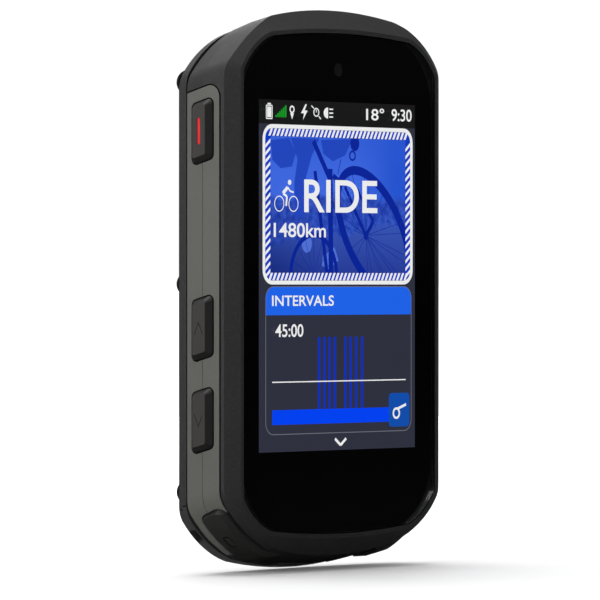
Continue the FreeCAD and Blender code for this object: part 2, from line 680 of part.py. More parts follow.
def tether_cuts():
    """The slots in the lower corners: in from the side, round a bar and out at the back."""
    x, depth = TETHER_AT
    angle = radians(TETHER_TURN)
    along, inward = V(sin(angle), 0, -cos(angle)), V(cos(angle), 0, sin(angle))
    length, height = TETHER_SLOT
    bar, floor = TETHER_REACH
    entry = Part.makeBox(length, floor + 2.0, height, V(-length / 2, -2.0, -height / 2))
    entry = entry.makeFillet(0.4, edges_along(entry, Y_AXIS))
    way_out = Part.makeBox(length - 0.4, floor - bar, 12.0,
                           V(0.2 - length / 2, bar, height / 2 - 12.0))
    slot = entry.fuse(way_out)
    z = -BODY.corner_centre[1] - sqrt(BODY.corner_radius ** 2 - (x - BODY.corner_centre[0]) ** 2)
    turn = FreeCAD.Matrix(along.x, inward.x, 0, -x,
                          0, 0, -1, back_from(depth),
                          along.z, inward.z, 0, z - drop_at(depth),
                          0, 0, 0, 1)
    slot = slot.transformGeometry(turn)
    return slot.fuse(mirrored(slot))


def rear_form():
    """The outside of the back: an edge strip, a flange and a raised middle."""
    strip = skin([(SEAM_REAR, 0.0), (FLANGE_BACK, 0.0)], REAR)
    rim = [edge for edge in strip.Edges
           if abs(edge.BoundBox.YMin - back_from(FLANGE_BACK)) < 1e-6]
    strip = strip.makeFillet(REAR_EDGE_RADIUS, rim)
    bulge = skin([(SEAM_REAR, -BULGE_INSET), (FLANGE_BACK, -BULGE_INSET),
                  (REAR_FACE, -BULGE_INSET - BULGE_SLOPE)], REAR)
    return strip.fuse(bulge)


def below(height, front=-5.0):
    return block((-REACH, REACH), (front, 60.0), (-REACH, height))


def trough_zone(grow):
    """The channel under the charging port that lets a plug's body in."""
    half = TROUGH_HALF_WIDTH + TROUGH_WALL + grow
    return block((-half, half), (TROUGH_FLOOR - TROUGH_WALL - grow, CAP_FLOOR),
                 (-REACH, CAP_SEAM + grow))


def seam_lip(grow):
    """The sloping lip of the rear shell that closes the seam over the cap from inside."""
    size = CAP_LIP[0] + 1.5 * grow
    points = [(CAP_FLOOR - 0.2, CAP_SEAM + 0.2), (CAP_FLOOR + size, CAP_SEAM + 0.2),
              (CAP_FLOOR + size, CAP_SEAM), (CAP_FLOOR, CAP_SEAM - size),
              (CAP_FLOOR - 0.2, CAP_SEAM - size)]
    corners = [V(-REACH, back_from(depth), z) for depth, z in points]
    return polygon_run(corners, V(2 * REACH, 0, 0))


def knuckle_spans():
    low, high = KNUCKLE_SPAN
    return [(low, high), (-high, -low)]


def rear_shell(form):
    hollow = skin([(SEAM_REAR - 1, -BULGE_INSET - 1.1), (FLANGE_BACK, -BULGE_INSET - 1.3),
                   (REAR_WALL_INNER, -BULGE_INSET - BULGE_SLOPE)], REAR)
    hollow = hollow.cut(below(CAP_SEAM + 1.3))
    shell = form.cut([hollow, below(CAP_SEAM, CAP_FLOOR)])
    edge = below(CAP_SEAM).cut(inner_skin(CAP_SKIRT + 0.1, REAR))
    shell = shell.cut(edge)
    walls = trough_zone(0.0).common(inner_skin(CAP_SKIRT + 0.1, REAR))
    shell = shell.fuse([walls, seam_lip(0.0).common(form)])
    axis = (CAP_AXIS_DEPTH, CAP_AXIS_HEIGHT)
    for low, high in knuckle_spans():
        neck = block((low, high), (CAP_AXIS_DEPTH - 0.5, CAP_AXIS_DEPTH + 0.5),
                     (CAP_AXIS_HEIGHT, CAP_SEAM + 0.3))
        shell = shell.fuse([across(KNUCKLE_RADIUS, (low, high), *axis), neck])
    cuts = [across(CAP_BEAD_RADIUS + CAP_BEAD_GAP, (-KNUCKLE_SPAN[1] - 0.1, KNUCKLE_SPAN[1] + 0.1),
                   *axis)]
    cuts.append(block((-TROUGH_HALF_WIDTH, TROUGH_HALF_WIDTH), (TROUGH_FLOOR, 60),
                      (-REACH, CAP_SEAM)))
    cuts.append(port_window())
    cuts.append(tether_cuts())
    cuts += [post(REAR_SCREW_RADIUS + 0.15, (SEAM_REAR - 1, 20), side * REAR_SCREW_X, z)
             for side in (LEFT, RIGHT) for z in REAR_SCREW_HEIGHTS]
    cuts.append(post(MOUNT_FLANGE_RADIUS + 0.02, (REAR_FACE - MOUNT_FLANGE_THICKNESS, 20), 0, 0))
    cuts += [post(0.45, (REAR_WALL_INNER - 1, 20), VENT_PLACE[0] + dx, VENT_PLACE[1])
             for dx in (-1.6, 0.0, 1.6)]
    return shell.cut(cuts)


def around_hinge(span, points):
    """A prism over span whose section is given as (behind, above) the cap's hinge line."""
    corners = [V(span[0], back_from(CAP_AXIS_DEPTH) + behind, CAP_AXIS_HEIGHT + above)
               for behind, above in points]
    return polygon_run(corners, V(span[1] - span[0], 0, 0))


def swing_relief():
    """The wedge behind the hinge line that turns past the rear shell's edge as the cap opens."""
    turn = radians(CAP_SWING)
    edge = V(0, CAP_AXIS_INSET, CAP_AXIS_DROP)
    behind = edge.y * cos(turn) + edge.z * sin(turn) - 0.07
    above = edge.z * cos(turn) - edge.y * sin(turn) - 0.09
    slope = tan(turn - radians(90.0))
    far = 4.0
    return around_hinge((-REACH, REACH), [
        (0, 0), (behind, above), (far, above - (far - behind) * slope), (far, far), (0, far)])


def plug_relief():
    """What the open cap has to leave clear for a plug: everything above a slope in the trough."""
    turn = radians(CAP_SWING)
    reach = PORT_DEPTH + PLUG_HALF_THICKNESS - CAP_AXIS_DEPTH + 0.1
    near, far = -6.0, 4.0
    front, back = [(reach - behind * cos(turn)) / -sin(turn) for behind in (near, far)]
    half = TROUGH_HALF_WIDTH + KNUCKLE_GAP
    return around_hinge((-half, half), [(near, front), (far, back), (far, 8), (near, 8)])


def weather_cap(form):
    """The rubber cap over the port, with its hinge beads and the pad that fills the trough."""
    cap = form.common(below(CAP_SEAM - CAP_GAP))
    cap = cap.cut(inner_skin(CAP_SKIRT, REAR, -2.0, CAP_FLOOR + 0.15))
    inner_top = block((-BODY_HALF_WIDTH + 3.0, BODY_HALF_WIDTH - 3.0), (SEAM_REAR - 1, 60),
                      (CAP_AXIS_HEIGHT, 0))
    axis = (CAP_AXIS_DEPTH, CAP_AXIS_HEIGHT)
    start = TROUGH_HALF_WIDTH + KNUCKLE_GAP
    rolls = [across(CAP_ROLL_RADIUS, span, *axis).common(inner_skin(BULGE_INSET + 1.2, REAR))
             for span in ((-REACH, -start), (start, REACH))]
    pad = block((-TROUGH_HALF_WIDTH + 0.3, TROUGH_HALF_WIDTH - 0.3),
                (TROUGH_FLOOR + 0.25, CAP_FLOOR + 0.5), (-REACH, CAP_SEAM - 0.25))
    pad = pad.common(inner_skin(0.1, REAR))
    cap = cap.cut([inner_top, swing_relief(), seam_lip(CAP_LIP[1])])
    cap = cap.fuse(rolls + [pad]).cut(plug_relief())
    for low, high in knuckle_spans():
        relief = across(KNUCKLE_RADIUS + 0.1, (low - KNUCKLE_GAP, high + KNUCKLE_GAP), *axis)
        bead = across(CAP_BEAD_RADIUS, (low - 0.4, high + 0.4), *axis)
        cap = cap.cut(relief).fuse(bead)
    return cap.cut(tether_cuts())


def perimeter_seal():
    outer, inner = SEAL_INSET
    depth = (SEAM_FRONT + 0.01, SEAM_REAR - 0.01)
    ring = skin([(depth[0], -outer), (depth[1], -outer)])
    ring = ring.cut(skin([(depth[0] - 1, -inner), (depth[1] + 1, -inner)]))
    screws = [post(REAR_SCREW_RADIUS + 0.1, (0, 20), side * REAR_SCREW_X, z)
              for side in (LEFT, RIGHT) for z in REAR_SCREW_HEIGHTS]
    return ring.cut([trough_zone(0.15)] + screws)


# ---- fasteners -------------------------------------------------------------------------
CHASSIS_SCREW = (0.55, 1.05, 0.4)    # thread radius, head radius, head height
CHASSIS_SCREW_END = 2.0
CHASSIS_SCREW_PLACES = [(side * (BODY_HALF_WIDTH - 4.3), z) for side in (LEFT, RIGHT)
                        for z in (12.0, 13.2 - BODY_HALF_HEIGHT)]
BOARD_SCREW = (0.6, 1.3, 0.6)
BOARD_SCREW_PLACES = [(side * (BODY_HALF_WIDTH - inset), z) for side in (LEFT, RIGHT) for inset, z in
                      ((12.2, BODY_HALF_HEIGHT - 10.7), (8.2, 14.2 - BODY_HALF_HEIGHT))]


def rear_screw(x, z):
    radius, height = REAR_SCREW_HEAD
    ball = (radius ** 2 + height ** 2) / (2 * height)
    y = back_from(FLANGE_BACK)
    dome = Part.makeSphere(ball, V(x, y + height - ball, z))
    head = dome.common(post(radius, (FLANGE_BACK, FLANGE_BACK + 2), x, z))
    corners = [V(x + 0.75 * cos(radians(60 * i)), y + height - 0.55, z + 0.75 * sin(radians(60 * i)))
               for i in range(6)]
    socket = polygon_run(corners, V(0, 2, 0))
    shaft = post(REAR_SCREW_RADIUS, (REAR_SCREW_END, FLANGE_BACK + 0.1), x, z)
    return head.fuse(shaft).cut(socket)


def flat_screw(sizes, front, seat, x, z):
    """A small screw with a flat head behind its seat and a cross recess."""
    radius, head_radius, head_height = sizes
    screw = post(head_radius, (seat, seat + head_height), x, z).fuse(post(radius, (front, seat), x, z))
    depth = (seat + head_height * 0.5, seat + head_height + 1)
    return screw.cut([centred(head_radius * 1.1, depth, 0.25, x, z),
                      centred(0.25, depth, head_radius * 1.1, x, z)])


# ---- screen and electronics ------------------------------------------------------------
SENSOR_RADIUS = 1.1
SENSOR_HEIGHT = GLASS_HALF_HEIGHT - 5.8
VENT_PLACE = (0.0, BATTERY_HEIGHT / 2 + 3.5)


def panel_outline(front, thickness, shrink=0.0):
    width = ACTIVE_WIDTH + 2 * PANEL_BORDER - 2 * shrink
    top = ACTIVE_CENTRE + ACTIVE_HEIGHT / 2 + PANEL_BORDER - shrink
    bottom = ACTIVE_CENTRE - ACTIVE_HEIGHT / 2 - PANEL_CHIN + shrink
    return rounded_box(width, (front, front + thickness), top - bottom, 0.6, 0, (top + bottom) / 2)


def glass_glue():
    ring = straight(GLASS, -0.3, GLASS_THICKNESS, GLASS_THICKNESS + GLUE_THICKNESS)
    return ring.cut([straight(GLASS, -LEDGE_WIDTH + 0.1, 0.0, 3.0),
                     post(SENSOR_RADIUS + 0.4, (0, 3), 0, SENSOR_HEIGHT)])


def light_sensor():
    lens = post(SENSOR_RADIUS, (GLASS_THICKNESS + 0.1, GLASS_THICKNESS + 0.5), 0, SENSOR_HEIGHT)
    body = centred(1.6, (GLASS_THICKNESS + 0.5, CHASSIS_FRONT - 0.05), 1.6, 0, SENSOR_HEIGHT)
    return lens.fuse(body)


def button_clearances(inner_x, front, back):
    """Room beside the buttons' flanges, taken out of the plates inside."""
    cuts = []
    for side, height in SIDE_BUTTON_PLACES:
        half = BUTTON_HEIGHT / 2 + 0.8
        cuts.append(on_side(block((-REACH, -inner_x), (front, back), (height - half, height + half)),
                            side))
    return cuts


def chassis():
    depth = (CHASSIS_FRONT, CHASSIS_FRONT + CHASSIS_THICKNESS)
    plate = straight(BODY, -WALL_INSET - 0.7, *depth).cut(below(CHASSIS_BOTTOM))
    lower = below(10.7 - BODY_HALF_HEIGHT).cut(straight(BODY, -WALL_INSET - 2.9, -5, 30))
    plate = plate.cut([lower] + button_clearances(BODY_HALF_WIDTH - 4.6, 0, 30))
    posts = [post(1.5, (depth[1] - 0.1, BOARD_FRONT), x, z) for x, z in BOARD_SCREW_PLACES]
    holes = [post(BOARD_SCREW[0] + 0.01, (CHASSIS_FRONT - 1, 20), x, z)
             for x, z in BOARD_SCREW_PLACES]
    holes += [post(CHASSIS_SCREW[0] + 0.1, (CHASSIS_FRONT - 1, 20), x, z)
              for x, z in CHASSIS_SCREW_PLACES]
    slots = [rounded_box(5.0, (0, 20), 18.0, 1.5, x, 4.0) for x in (-9.0, 9.0)]
    flex_slot = centred(12.0, (0, 20), 2.0, 0, FLEX_HEIGHT)
    return plate.fuse(posts).cut(holes + slots + [flex_slot])


def main_board():
    board = straight(BODY, -BOARD_INSET, BOARD_FRONT, BOARD_BACK)
    board = board.cut([below(BOARD_BOTTOM), block((-REACH, REACH), (0, 20), (BOARD_TOP, REACH))])
    lower = below(13.2 - BODY_HALF_HEIGHT).cut(straight(BODY, -WALL_INSET - 3.6, -5, 30))
    notches = [post(BOSS_RADIUS + 0.3, (0, 20), side * REAR_SCREW_X, z)
               for side in (LEFT, RIGHT) for z in REAR_SCREW_HEIGHTS]
    holes = [post(BOARD_SCREW[0] + 0.15, (0, 20), x, z) for x, z in BOARD_SCREW_PLACES]
    flex_slot = centred(12.0, (0, 20), 1.6, 0, FLEX_HEIGHT)
    return board.cut([lower, flex_slot] + notches + holes)


FLEX_HEIGHT = 11.0 - BODY_HALF_HEIGHT


def display_flex():
    """The display's ribbon: from the backlight, through the chassis, onto the board."""
    start = CHASSIS_FRONT - 0.2
    top = ACTIVE_CENTRE - ACTIVE_HEIGHT / 2 - 2.0
    front = centred(10.0, (start, start + 0.12), top - FLEX_HEIGHT + 0.06, 0,
                    (top + FLEX_HEIGHT - 0.06) / 2)
    through = centred(10.0, (start, BOARD_BACK + 0.25), 0.12, 0, FLEX_HEIGHT)
    back = centred(10.0, (BOARD_BACK + 0.13, BOARD_BACK + 0.25), 4.0, 0, FLEX_HEIGHT + 2.0 - 0.06)
    plug = centred(10.6, (BOARD_BACK + 0.25, BOARD_BACK + 1.05), 2.4, 0, FLEX_HEIGHT + 2.6)
    return front.fuse([through, back, plug])


def shield(width, height, thickness, x, z):
    """A thin pressed can over a part of the board."""
    depth = (BOARD_BACK, BOARD_BACK + thickness)
    can = rounded_box(width, depth, height, 0.8, x, z)
    room = rounded_box(width - 0.4, (depth[0] - 1, depth[1] - 0.2), height - 0.4, 0.6, x, z)
    return can.cut(room)


def quarter_turn_insert():
    """The mount: a flange let into the back, a round neck and two tabs, one up and one down."""
    tab_front = TOTAL_DEPTH - TAB_THICKNESS
    flange = post(MOUNT_FLANGE_RADIUS, (REAR_FACE - MOUNT_FLANGE_THICKNESS, REAR_FACE), 0, 0)
    neck = post(NECK_RADIUS, (REAR_FACE - 0.2, TOTAL_DEPTH), 0, 0)
    disc = post(TAB_RADIUS, (tab_front, TOTAL_DEPTH), 0, 0)
    tabs = disc.common(centred(TAB_WIDTH, (tab_front, TOTAL_DEPTH), 3 * TAB_RADIUS))
    tabs = tabs.makeFillet(0.6, edges_along(tabs, Y_AXIS))
    neck = neck.makeFillet(0.3, [edge for edge in neck.Edges
                                 if abs(edge.BoundBox.YMin) < 1e-6 and edge.BoundBox.XLength > 1])
    dish = post(MOUNT_DISH_RADIUS, (TOTAL_DEPTH - MOUNT_DISH_DEPTH, 30), 0, 0)
    dimples = [post(0.7, (TOTAL_DEPTH - 0.5, 30), side * 10.8, 0) for side in (LEFT, RIGHT)]
    return flange.fuse([neck, tabs]).removeSplitter().cut([dish] + dimples)


# ---- charging port ---------------------------------------------------------------------
PORT_MOUTH = CAP_SEAM + PORT_MOUTH_DROP


def port_prism(grow, top, bottom, depth=PORT_DEPTH):
    """The rounded section of the port run along z."""
    width, thick, _ = PORT_SIZE
    box = Part.makeBox(width + 2 * grow, thick + 2 * grow, top - bottom,
                       V(-width / 2 - grow, back_from(depth) - thick / 2 - grow, bottom))
    return box.makeFillet(PORT_CORNER + grow, edges_along(box, Z_AXIS))


def port_window():
    return port_prism(0.05, PORT_MOUTH + PORT_SIZE[2] + 0.1, -REACH)


def usb_c_shell():
    top = PORT_MOUTH + PORT_SIZE[2]
    can = port_prism(0.0, top, PORT_MOUTH)
    return can.cut(port_prism(-PORT_WALL, top - 0.5, PORT_MOUTH - 1))


def usb_c_tongue():
    top = PORT_MOUTH + PORT_SIZE[2] - 0.5
    base = port_prism(-PORT_WALL - 0.02, top, top - 1.6)
    blade = Part.makeBox(6.69, 0.70, top - 1.0 - PORT_MOUTH - 0.7,
                         V(-6.69 / 2, back_from(PORT_DEPTH) - 0.35, PORT_MOUTH + 0.7))
    return base.fuse(blade)


def usb_board():
    back = PORT_DEPTH - PORT_SIZE[1] / 2 - 0.02
    return centred(16.0, (back - 0.8, back), 9.0, 0, CAP_SEAM + 1.5 + 4.5)


# ---- the whole part --------------------------------------------------------------------
def button_parts():
    """Every button with its switch body and plunger."""
    parts = {}
    sides = [("power", LEFT, POWER_HEIGHT, "power"), ("up", LEFT, UPPER_HEIGHT, "up"),
             ("down", LEFT, LOWER_HEIGHT, "down"), ("select", RIGHT, UPPER_HEIGHT, "up"),
             ("back", RIGHT, LOWER_HEIGHT, "down")]
    for name, side, height, mark in sides:
        parts[name + "_button"] = on_side(side_button(height, mark), side)
        switch, plunger = switch_pair((switch_tip(LEFT), height), 0.0)
        parts[name + "_switch"] = on_side(switch, side)
        parts[name + "_switch_plunger"] = on_side(plunger, side)
    tip = corner_switch_tip()
    for name, side, mark in (("lap", LEFT, loop_mark()), ("start", RIGHT, triangle_mark())):
        parts[name + "_button"] = on_side(corner_button(mark), side)
        switch, plunger = switch_pair((tip.x, tip.z), 90.0 - CORNER_BUTTON_LEAN)
        parts[name + "_switch"] = on_side(switch, side)
        parts[name + "_switch_plunger"] = on_side(plunger, side)
    parts["power_button_inlay"] = power_inlay()
    return parts


def side_seal(low, high, heights, side):
    """A thin rubber strip between the wall and the switches, holed for the stems."""
    inner = BODY_HALF_WIDTH - WALL_INSET - RUN_GAP - FLANGE_THICKNESS - BUTTON_TRAVEL - RUN_GAP
    strip = block((-inner, -inner + SEAL_THICKNESS), (BUTTON_FRONT + 0.6, BUTTON_BACK + 0.4),
                  (low, high))
    holes = [across(STEM_RADIUS + 0.06, (-inner - 1, -inner + 2), SWITCH_DEPTH, z) for z in heights]
    return on_side(strip.cut(holes), side)


def corner_seal(side):
    foot = corner_stem_foot()
    start = foot + lean(FLANGE_THICKNESS / 2 + BUTTON_TRAVEL + 2 * RUN_GAP + 0.62)
    strip = Part.makeBox(6.0, 3.6, SEAL_THICKNESS, V(-3.0, -1.8, 0))
    strip.rotate(V(0, 0, 0), Y_AXIS, CORNER_BUTTON_LEAN)
    strip.translate(start)
    hole = Part.makeCylinder(STEM_RADIUS + 0.06, 6, foot, lean(1.0))
    return on_side(strip.cut(hole), side)


def seal_parts():
    half = BUTTON_HEIGHT / 2
    low, high = LOWER_HEIGHT - half, UPPER_HEIGHT + half - 0.2
    pair = (UPPER_HEIGHT, LOWER_HEIGHT)
    return {"power_button_seal": side_seal(POWER_HEIGHT - half, POWER_HEIGHT + half,
                                           (POWER_HEIGHT,), LEFT),
            "left_button_seal": side_seal(low, high, pair, LEFT),
            "right_button_seal": side_seal(low, high, pair, RIGHT),
            "lap_button_seal": corner_seal(LEFT),
            "start_button_seal": corner_seal(RIGHT)}


def screen_parts():
    glue_back = GLASS_THICKNESS + GLUE_THICKNESS
    panel_back = glue_back + PANEL_THICKNESS
    glass = straight(GLASS, 0.0, 0.0, GLASS_THICKNESS)
    rim = [edge for edge in glass.Edges if abs(edge.BoundBox.YMax - back_from(0)) < 1e-6]
    return {"cover_glass": glass.makeChamfer(0.12, rim),
            "glass_adhesive": glass_glue(),
            "optical_adhesive": panel_outline(GLASS_THICKNESS, GLUE_THICKNESS, 0.4),
            "display_panel": panel_outline(glue_back, PANEL_THICKNESS),
            "backlight": panel_outline(panel_back, BACKLIGHT_THICKNESS, 0.2),
            "display_flex": display_flex(),
            "light_sensor": light_sensor()}


def inside_parts():
    battery_back = REAR_WALL_INNER - FOAM_THICKNESS
    battery_front = battery_back - BATTERY_THICKNESS
    battery = rounded_box(BATTERY_WIDTH, (battery_front, battery_back), BATTERY_HEIGHT, 2.0,
                          0, BATTERY_CENTRE)
    plug_z = BATTERY_CENTRE - BATTERY_HEIGHT / 2 - 1.6
    return {"chassis": chassis(),
            "main_board": main_board(),
            "processor": centred(11.0, (BOARD_BACK, BOARD_BACK + 0.9), 11.0, -8.0, 10.0),
            "processor_shield": shield(15.0, 19.0, 1.3, -8.0, 8.0),
            "radio_shield": shield(14.0, 15.0, 1.3, 9.0, 8.0),
            "gnss_antenna": centred(12.0, (BOARD_BACK, BOARD_BACK + 4.0), 5.0, 0.0, BOARD_TOP - 4.5),
            "radio_antenna": centred(2.0, (BOARD_BACK, BOARD_BACK + 1.1), 6.0,
                                     BODY_HALF_WIDTH - 7.7, BOARD_TOP - 6.0),
            "battery": battery,
            "battery_foam": centred(BATTERY_WIDTH - 4, (battery_back, REAR_WALL_INNER),
                                    BATTERY_HEIGHT - 4, 0, BATTERY_CENTRE),
            "battery_plug": centred(6.0, (BOARD_BACK, BOARD_BACK + 1.6), 2.6, -9.5, plug_z),
            "buzzer": post(4.2, (BOARD_BACK, BOARD_BACK + 1.6), 12.0,
                           LOWER_HEIGHT + 7.7),
            "pressure_vent": post(3.0, (REAR_WALL_INNER - 0.25, REAR_WALL_INNER), *VENT_PLACE),
            "usb_c_shell": usb_c_shell(),
            "usb_c_tongue": usb_c_tongue(),
            "usb_board": usb_board()}


def screw_parts():
    rear = [rear_screw(side * REAR_SCREW_X, z)
            for side in (LEFT, RIGHT) for z in REAR_SCREW_HEIGHTS]
    seat = CHASSIS_FRONT + CHASSIS_THICKNESS
    inner = [flat_screw(CHASSIS_SCREW, CHASSIS_SCREW_END, seat, x, z)
             for x, z in CHASSIS_SCREW_PLACES]
    board = [flat_screw(BOARD_SCREW, CHASSIS_FRONT + 0.1, BOARD_BACK, x, z)
             for x, z in BOARD_SCREW_PLACES]
    return {"rear_screws": Part.makeCompound(rear),
            "chassis_screws": Part.makeCompound(inner),
            "board_screws": Part.makeCompound(board)}


def casing_parts():
    blank = body_blank()
    form = rear_form()
    bands = side_bands(blank)
    return {"front_housing": front_housing(blank),
            "left_side_band": bands[0],
            "right_side_band": bands[1],
            "rear_shell": rear_shell(form),
            "weather_cap": weather_cap(form),
            "perimeter_seal": perimeter_seal(),
            "quarter_turn_insert": quarter_turn_insert()}


def main():
    os.makedirs("parts", exist_ok=True)
    parts = {}
    for group in (casing_parts, screen_parts, inside_parts, screw_parts, button_parts, seal_parts):
        parts.update(group())
    for name, shape in parts.items():
        box = shape.BoundBox
        print(f"{name:24s} solids {len(shape.Solids)} valid {shape.isValid()} "
              f"volume {shape.Volume:9.2f}  x {box.XMin:6.2f} {box.XMax:6.2f} "
              f"y {box.YMin:6.2f} {box.YMax:6.2f} z {box.ZMin:6.2f} {box.ZMax:6.2f}")
        shape.exportStep(os.path.join("parts", name + ".step"))


main()
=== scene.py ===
"""Looks of a handlebar cycling computer: plastics, rubber, glass and lit screen, on a pale floor."""

import json
from math import atan2, cos, hypot, pi, radians, sin

import bmesh
import bpy
from mathutils import Matrix, Vector


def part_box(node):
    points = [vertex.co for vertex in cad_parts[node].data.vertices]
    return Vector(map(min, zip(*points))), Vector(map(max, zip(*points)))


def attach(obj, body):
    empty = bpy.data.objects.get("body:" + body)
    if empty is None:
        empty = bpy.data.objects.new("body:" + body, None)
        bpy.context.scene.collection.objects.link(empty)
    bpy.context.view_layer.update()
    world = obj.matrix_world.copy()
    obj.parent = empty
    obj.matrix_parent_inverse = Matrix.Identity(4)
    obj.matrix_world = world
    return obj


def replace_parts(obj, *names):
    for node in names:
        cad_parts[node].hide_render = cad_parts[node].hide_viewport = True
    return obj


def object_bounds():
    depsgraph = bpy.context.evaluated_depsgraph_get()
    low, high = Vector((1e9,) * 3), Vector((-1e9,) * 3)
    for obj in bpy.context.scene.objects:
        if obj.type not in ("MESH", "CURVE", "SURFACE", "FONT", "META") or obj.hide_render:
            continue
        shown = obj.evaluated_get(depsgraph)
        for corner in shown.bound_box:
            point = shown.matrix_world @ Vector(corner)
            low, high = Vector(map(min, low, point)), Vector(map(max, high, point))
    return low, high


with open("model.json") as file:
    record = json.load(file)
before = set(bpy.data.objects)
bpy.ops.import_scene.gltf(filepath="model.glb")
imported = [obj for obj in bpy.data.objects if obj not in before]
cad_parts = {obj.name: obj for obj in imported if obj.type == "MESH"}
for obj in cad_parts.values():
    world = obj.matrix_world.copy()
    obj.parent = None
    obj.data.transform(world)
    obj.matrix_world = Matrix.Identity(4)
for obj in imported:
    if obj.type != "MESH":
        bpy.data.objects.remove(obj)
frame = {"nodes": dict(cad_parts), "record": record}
cad_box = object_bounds()
MM = 0.001

# ---- shader building blocks -----------------------------------------------------------


class Nodes:
    """A node tree with short calls for the nodes this object's finishes use."""

    def __init__(self, tree):
        self.tree = tree

    def add(self, kind, inputs=None, **settings):
        node = self.tree.nodes.new(kind)
        for name, value in settings.items():
            setattr(node, name, value)
        for name, value in (inputs or {}).items():
            self.feed(value, node.inputs[name])
        return node

    def feed(self, value, socket):
        if isinstance(value, bpy.types.NodeSocket):
            self.tree.links.new(value, socket)
        else:
            socket.default_value = value

    def math(self, operation, a, b=0.0, clamp=False):
        node = self.add("ShaderNodeMath", operation=operation, use_clamp=clamp)
        self.feed(a, node.inputs[0])
        self.feed(b, node.inputs[1])
        return node.outputs[0]

    def mix(self, amount, a, b):
        node = self.add("ShaderNodeMix", data_type="RGBA")
        self.feed(amount, node.inputs["Factor"])
        self.feed(a, node.inputs[6])
        self.feed(b, node.inputs[7])
        return node.outputs[2]

    def ramp(self, value, low, high, start=0.0, end=1.0, smooth=False):
        node = self.add("ShaderNodeMapRange", interpolation_type="SMOOTHSTEP" if smooth else "LINEAR")
        self.feed(value, node.inputs["Value"])
        for name, number in (("From Min", low), ("From Max", high), ("To Min", start), ("To Max", end)):
            self.feed(number, node.inputs[name])
        return node.outputs["Result"]

    def noise(self, place, scale, detail=2.0, roughness=0.5):
        node = self.add("ShaderNodeTexNoise", {"Detail": detail, "Roughness": roughness})
        self.feed(place, node.inputs["Vector"])
        self.feed(scale, node.inputs["Scale"])
        return node.outputs["Fac"]

    def place(self):
        return self.add("ShaderNodeTexCoord").outputs["Object"]


def effect_group(name, inputs, outputs):
    """An empty shader node group with number inputs {name: default} and the outputs named."""
    group = bpy.data.node_groups.new(name, "ShaderNodeTree")
    for label, value in inputs.items():
        socket = group.interface.new_socket(label, in_out="INPUT", socket_type="NodeSocketFloat")
        socket.default_value = value
    for label in outputs:
        group.interface.new_socket(label, in_out="OUTPUT", socket_type="NodeSocketFloat")
    nodes = Nodes(group)
    return group, nodes, nodes.add("NodeGroupInput").outputs, nodes.add("NodeGroupOutput").inputs


def make_grain_effect():
    """Spark-eroded mould grain: rounded pits of about Pitch mm under a finer tooth."""
    group, n, given, out = effect_group("mould_grain", {"Pitch": 0.25}, ["Height", "Tone"])
    place = n.place()
    rate = n.math("DIVIDE", 1000.0, given["Pitch"])
    pits = n.noise(place, rate, 2.0, 0.6)
    tooth = n.noise(place, n.math("MULTIPLY", rate, 2.7), 2.0, 0.7)
    height = n.math("ADD", n.math("MULTIPLY", pits, 0.7), n.math("MULTIPLY", tooth, 0.3))
    n.feed(height, out["Height"])
    n.feed(n.ramp(height, 0.35, 0.65, 0.0, 1.0), out["Tone"])
    return group


def make_handling_effect():
    """Slow changes over a moulding: flow clouds and faint rubbed patches."""
    group, n, given, out = effect_group("handling", {"Size": 14.0}, ["Cloud", "Rub"])
    place = n.place()
    rate = n.math("DIVIDE", 1000.0, given["Size"])
    n.feed(n.ramp(n.noise(place, rate, 3.0, 0.55), 0.3, 0.7), out["Cloud"])
    rub = n.noise(place, n.math("MULTIPLY", rate, 3.1), 5.0, 0.7)
    n.feed(n.ramp(rub, 0.5, 0.75, smooth=True), out["Rub"])
    return group


def make_edge_highlight_effect():
    """Painted highlight where a surface turns a corner: 1 on the last Width mm of an outside edge."""
    group, n, given, out = effect_group("painted_edge_highlight", {"Width": 0.15}, ["Edge"])
    rounded = n.add("ShaderNodeBevel", samples=4)
    n.feed(n.math("MULTIPLY", given["Width"], MM), rounded.inputs["Radius"])
    flat = n.add("ShaderNodeNewGeometry").outputs["Normal"]
    turn = n.add("ShaderNodeVectorMath", operation="DOT_PRODUCT")
    n.feed(rounded.outputs["Normal"], turn.inputs[0])
    n.feed(flat, turn.inputs[1])
    bend = n.math("SUBTRACT", 1.0, turn.outputs["Value"])
    broken = n.noise(n.place(), 900.0, 4.0, 0.7)
    edge = n.math("MULTIPLY", n.ramp(bend, 0.02, 0.16), n.ramp(broken, 0.3, 0.6, 0.35, 1.0))
    n.feed(edge, out["Edge"])
    return group


def make_dust_effect():
    """Sparse pale specks of lint, thickest on faces that look up."""
    group, n, given, out = effect_group("dust", {"Amount": 0.3}, ["Dust"])
    specks = n.add("ShaderNodeTexVoronoi", {"Scale": 900.0, "Randomness": 1.0})
    n.feed(n.place(), specks.inputs["Vector"])
    speck = n.ramp(specks.outputs["Distance"], 0.05, 0.11, 1.0, 0.0)
    chosen = n.ramp(specks.outputs["Color"], 0.80, 0.84)
    facing = n.add("ShaderNodeSeparateXYZ")
    n.feed(n.add("ShaderNodeNewGeometry").outputs["Normal"], facing.inputs[0])
    lie = n.ramp(facing.outputs["Z"], -0.2, 1.0, 0.35, 1.0)
    n.feed(n.math("MULTIPLY", n.math("MULTIPLY", speck, chosen), n.math("MULTIPLY", lie, given["Amount"])),
           out["Dust"])
    return group


def make_joint_shade_effect():
    """Painted shade in the joints, where light is lost: 1 where other surfaces stand within Reach mm all
    round.
    """
    group, n, given, out = effect_group("joint_shade", {"Reach": 0.6}, ["Crevice"])
    open_air = n.add("ShaderNodeAmbientOcclusion", samples=8)
    n.feed(n.math("MULTIPLY", given["Reach"], MM), open_air.inputs["Distance"])
    n.feed(n.ramp(open_air.outputs["AO"], 0.30, 0.80, 1.0, 0.0), out["Crevice"])
    return group


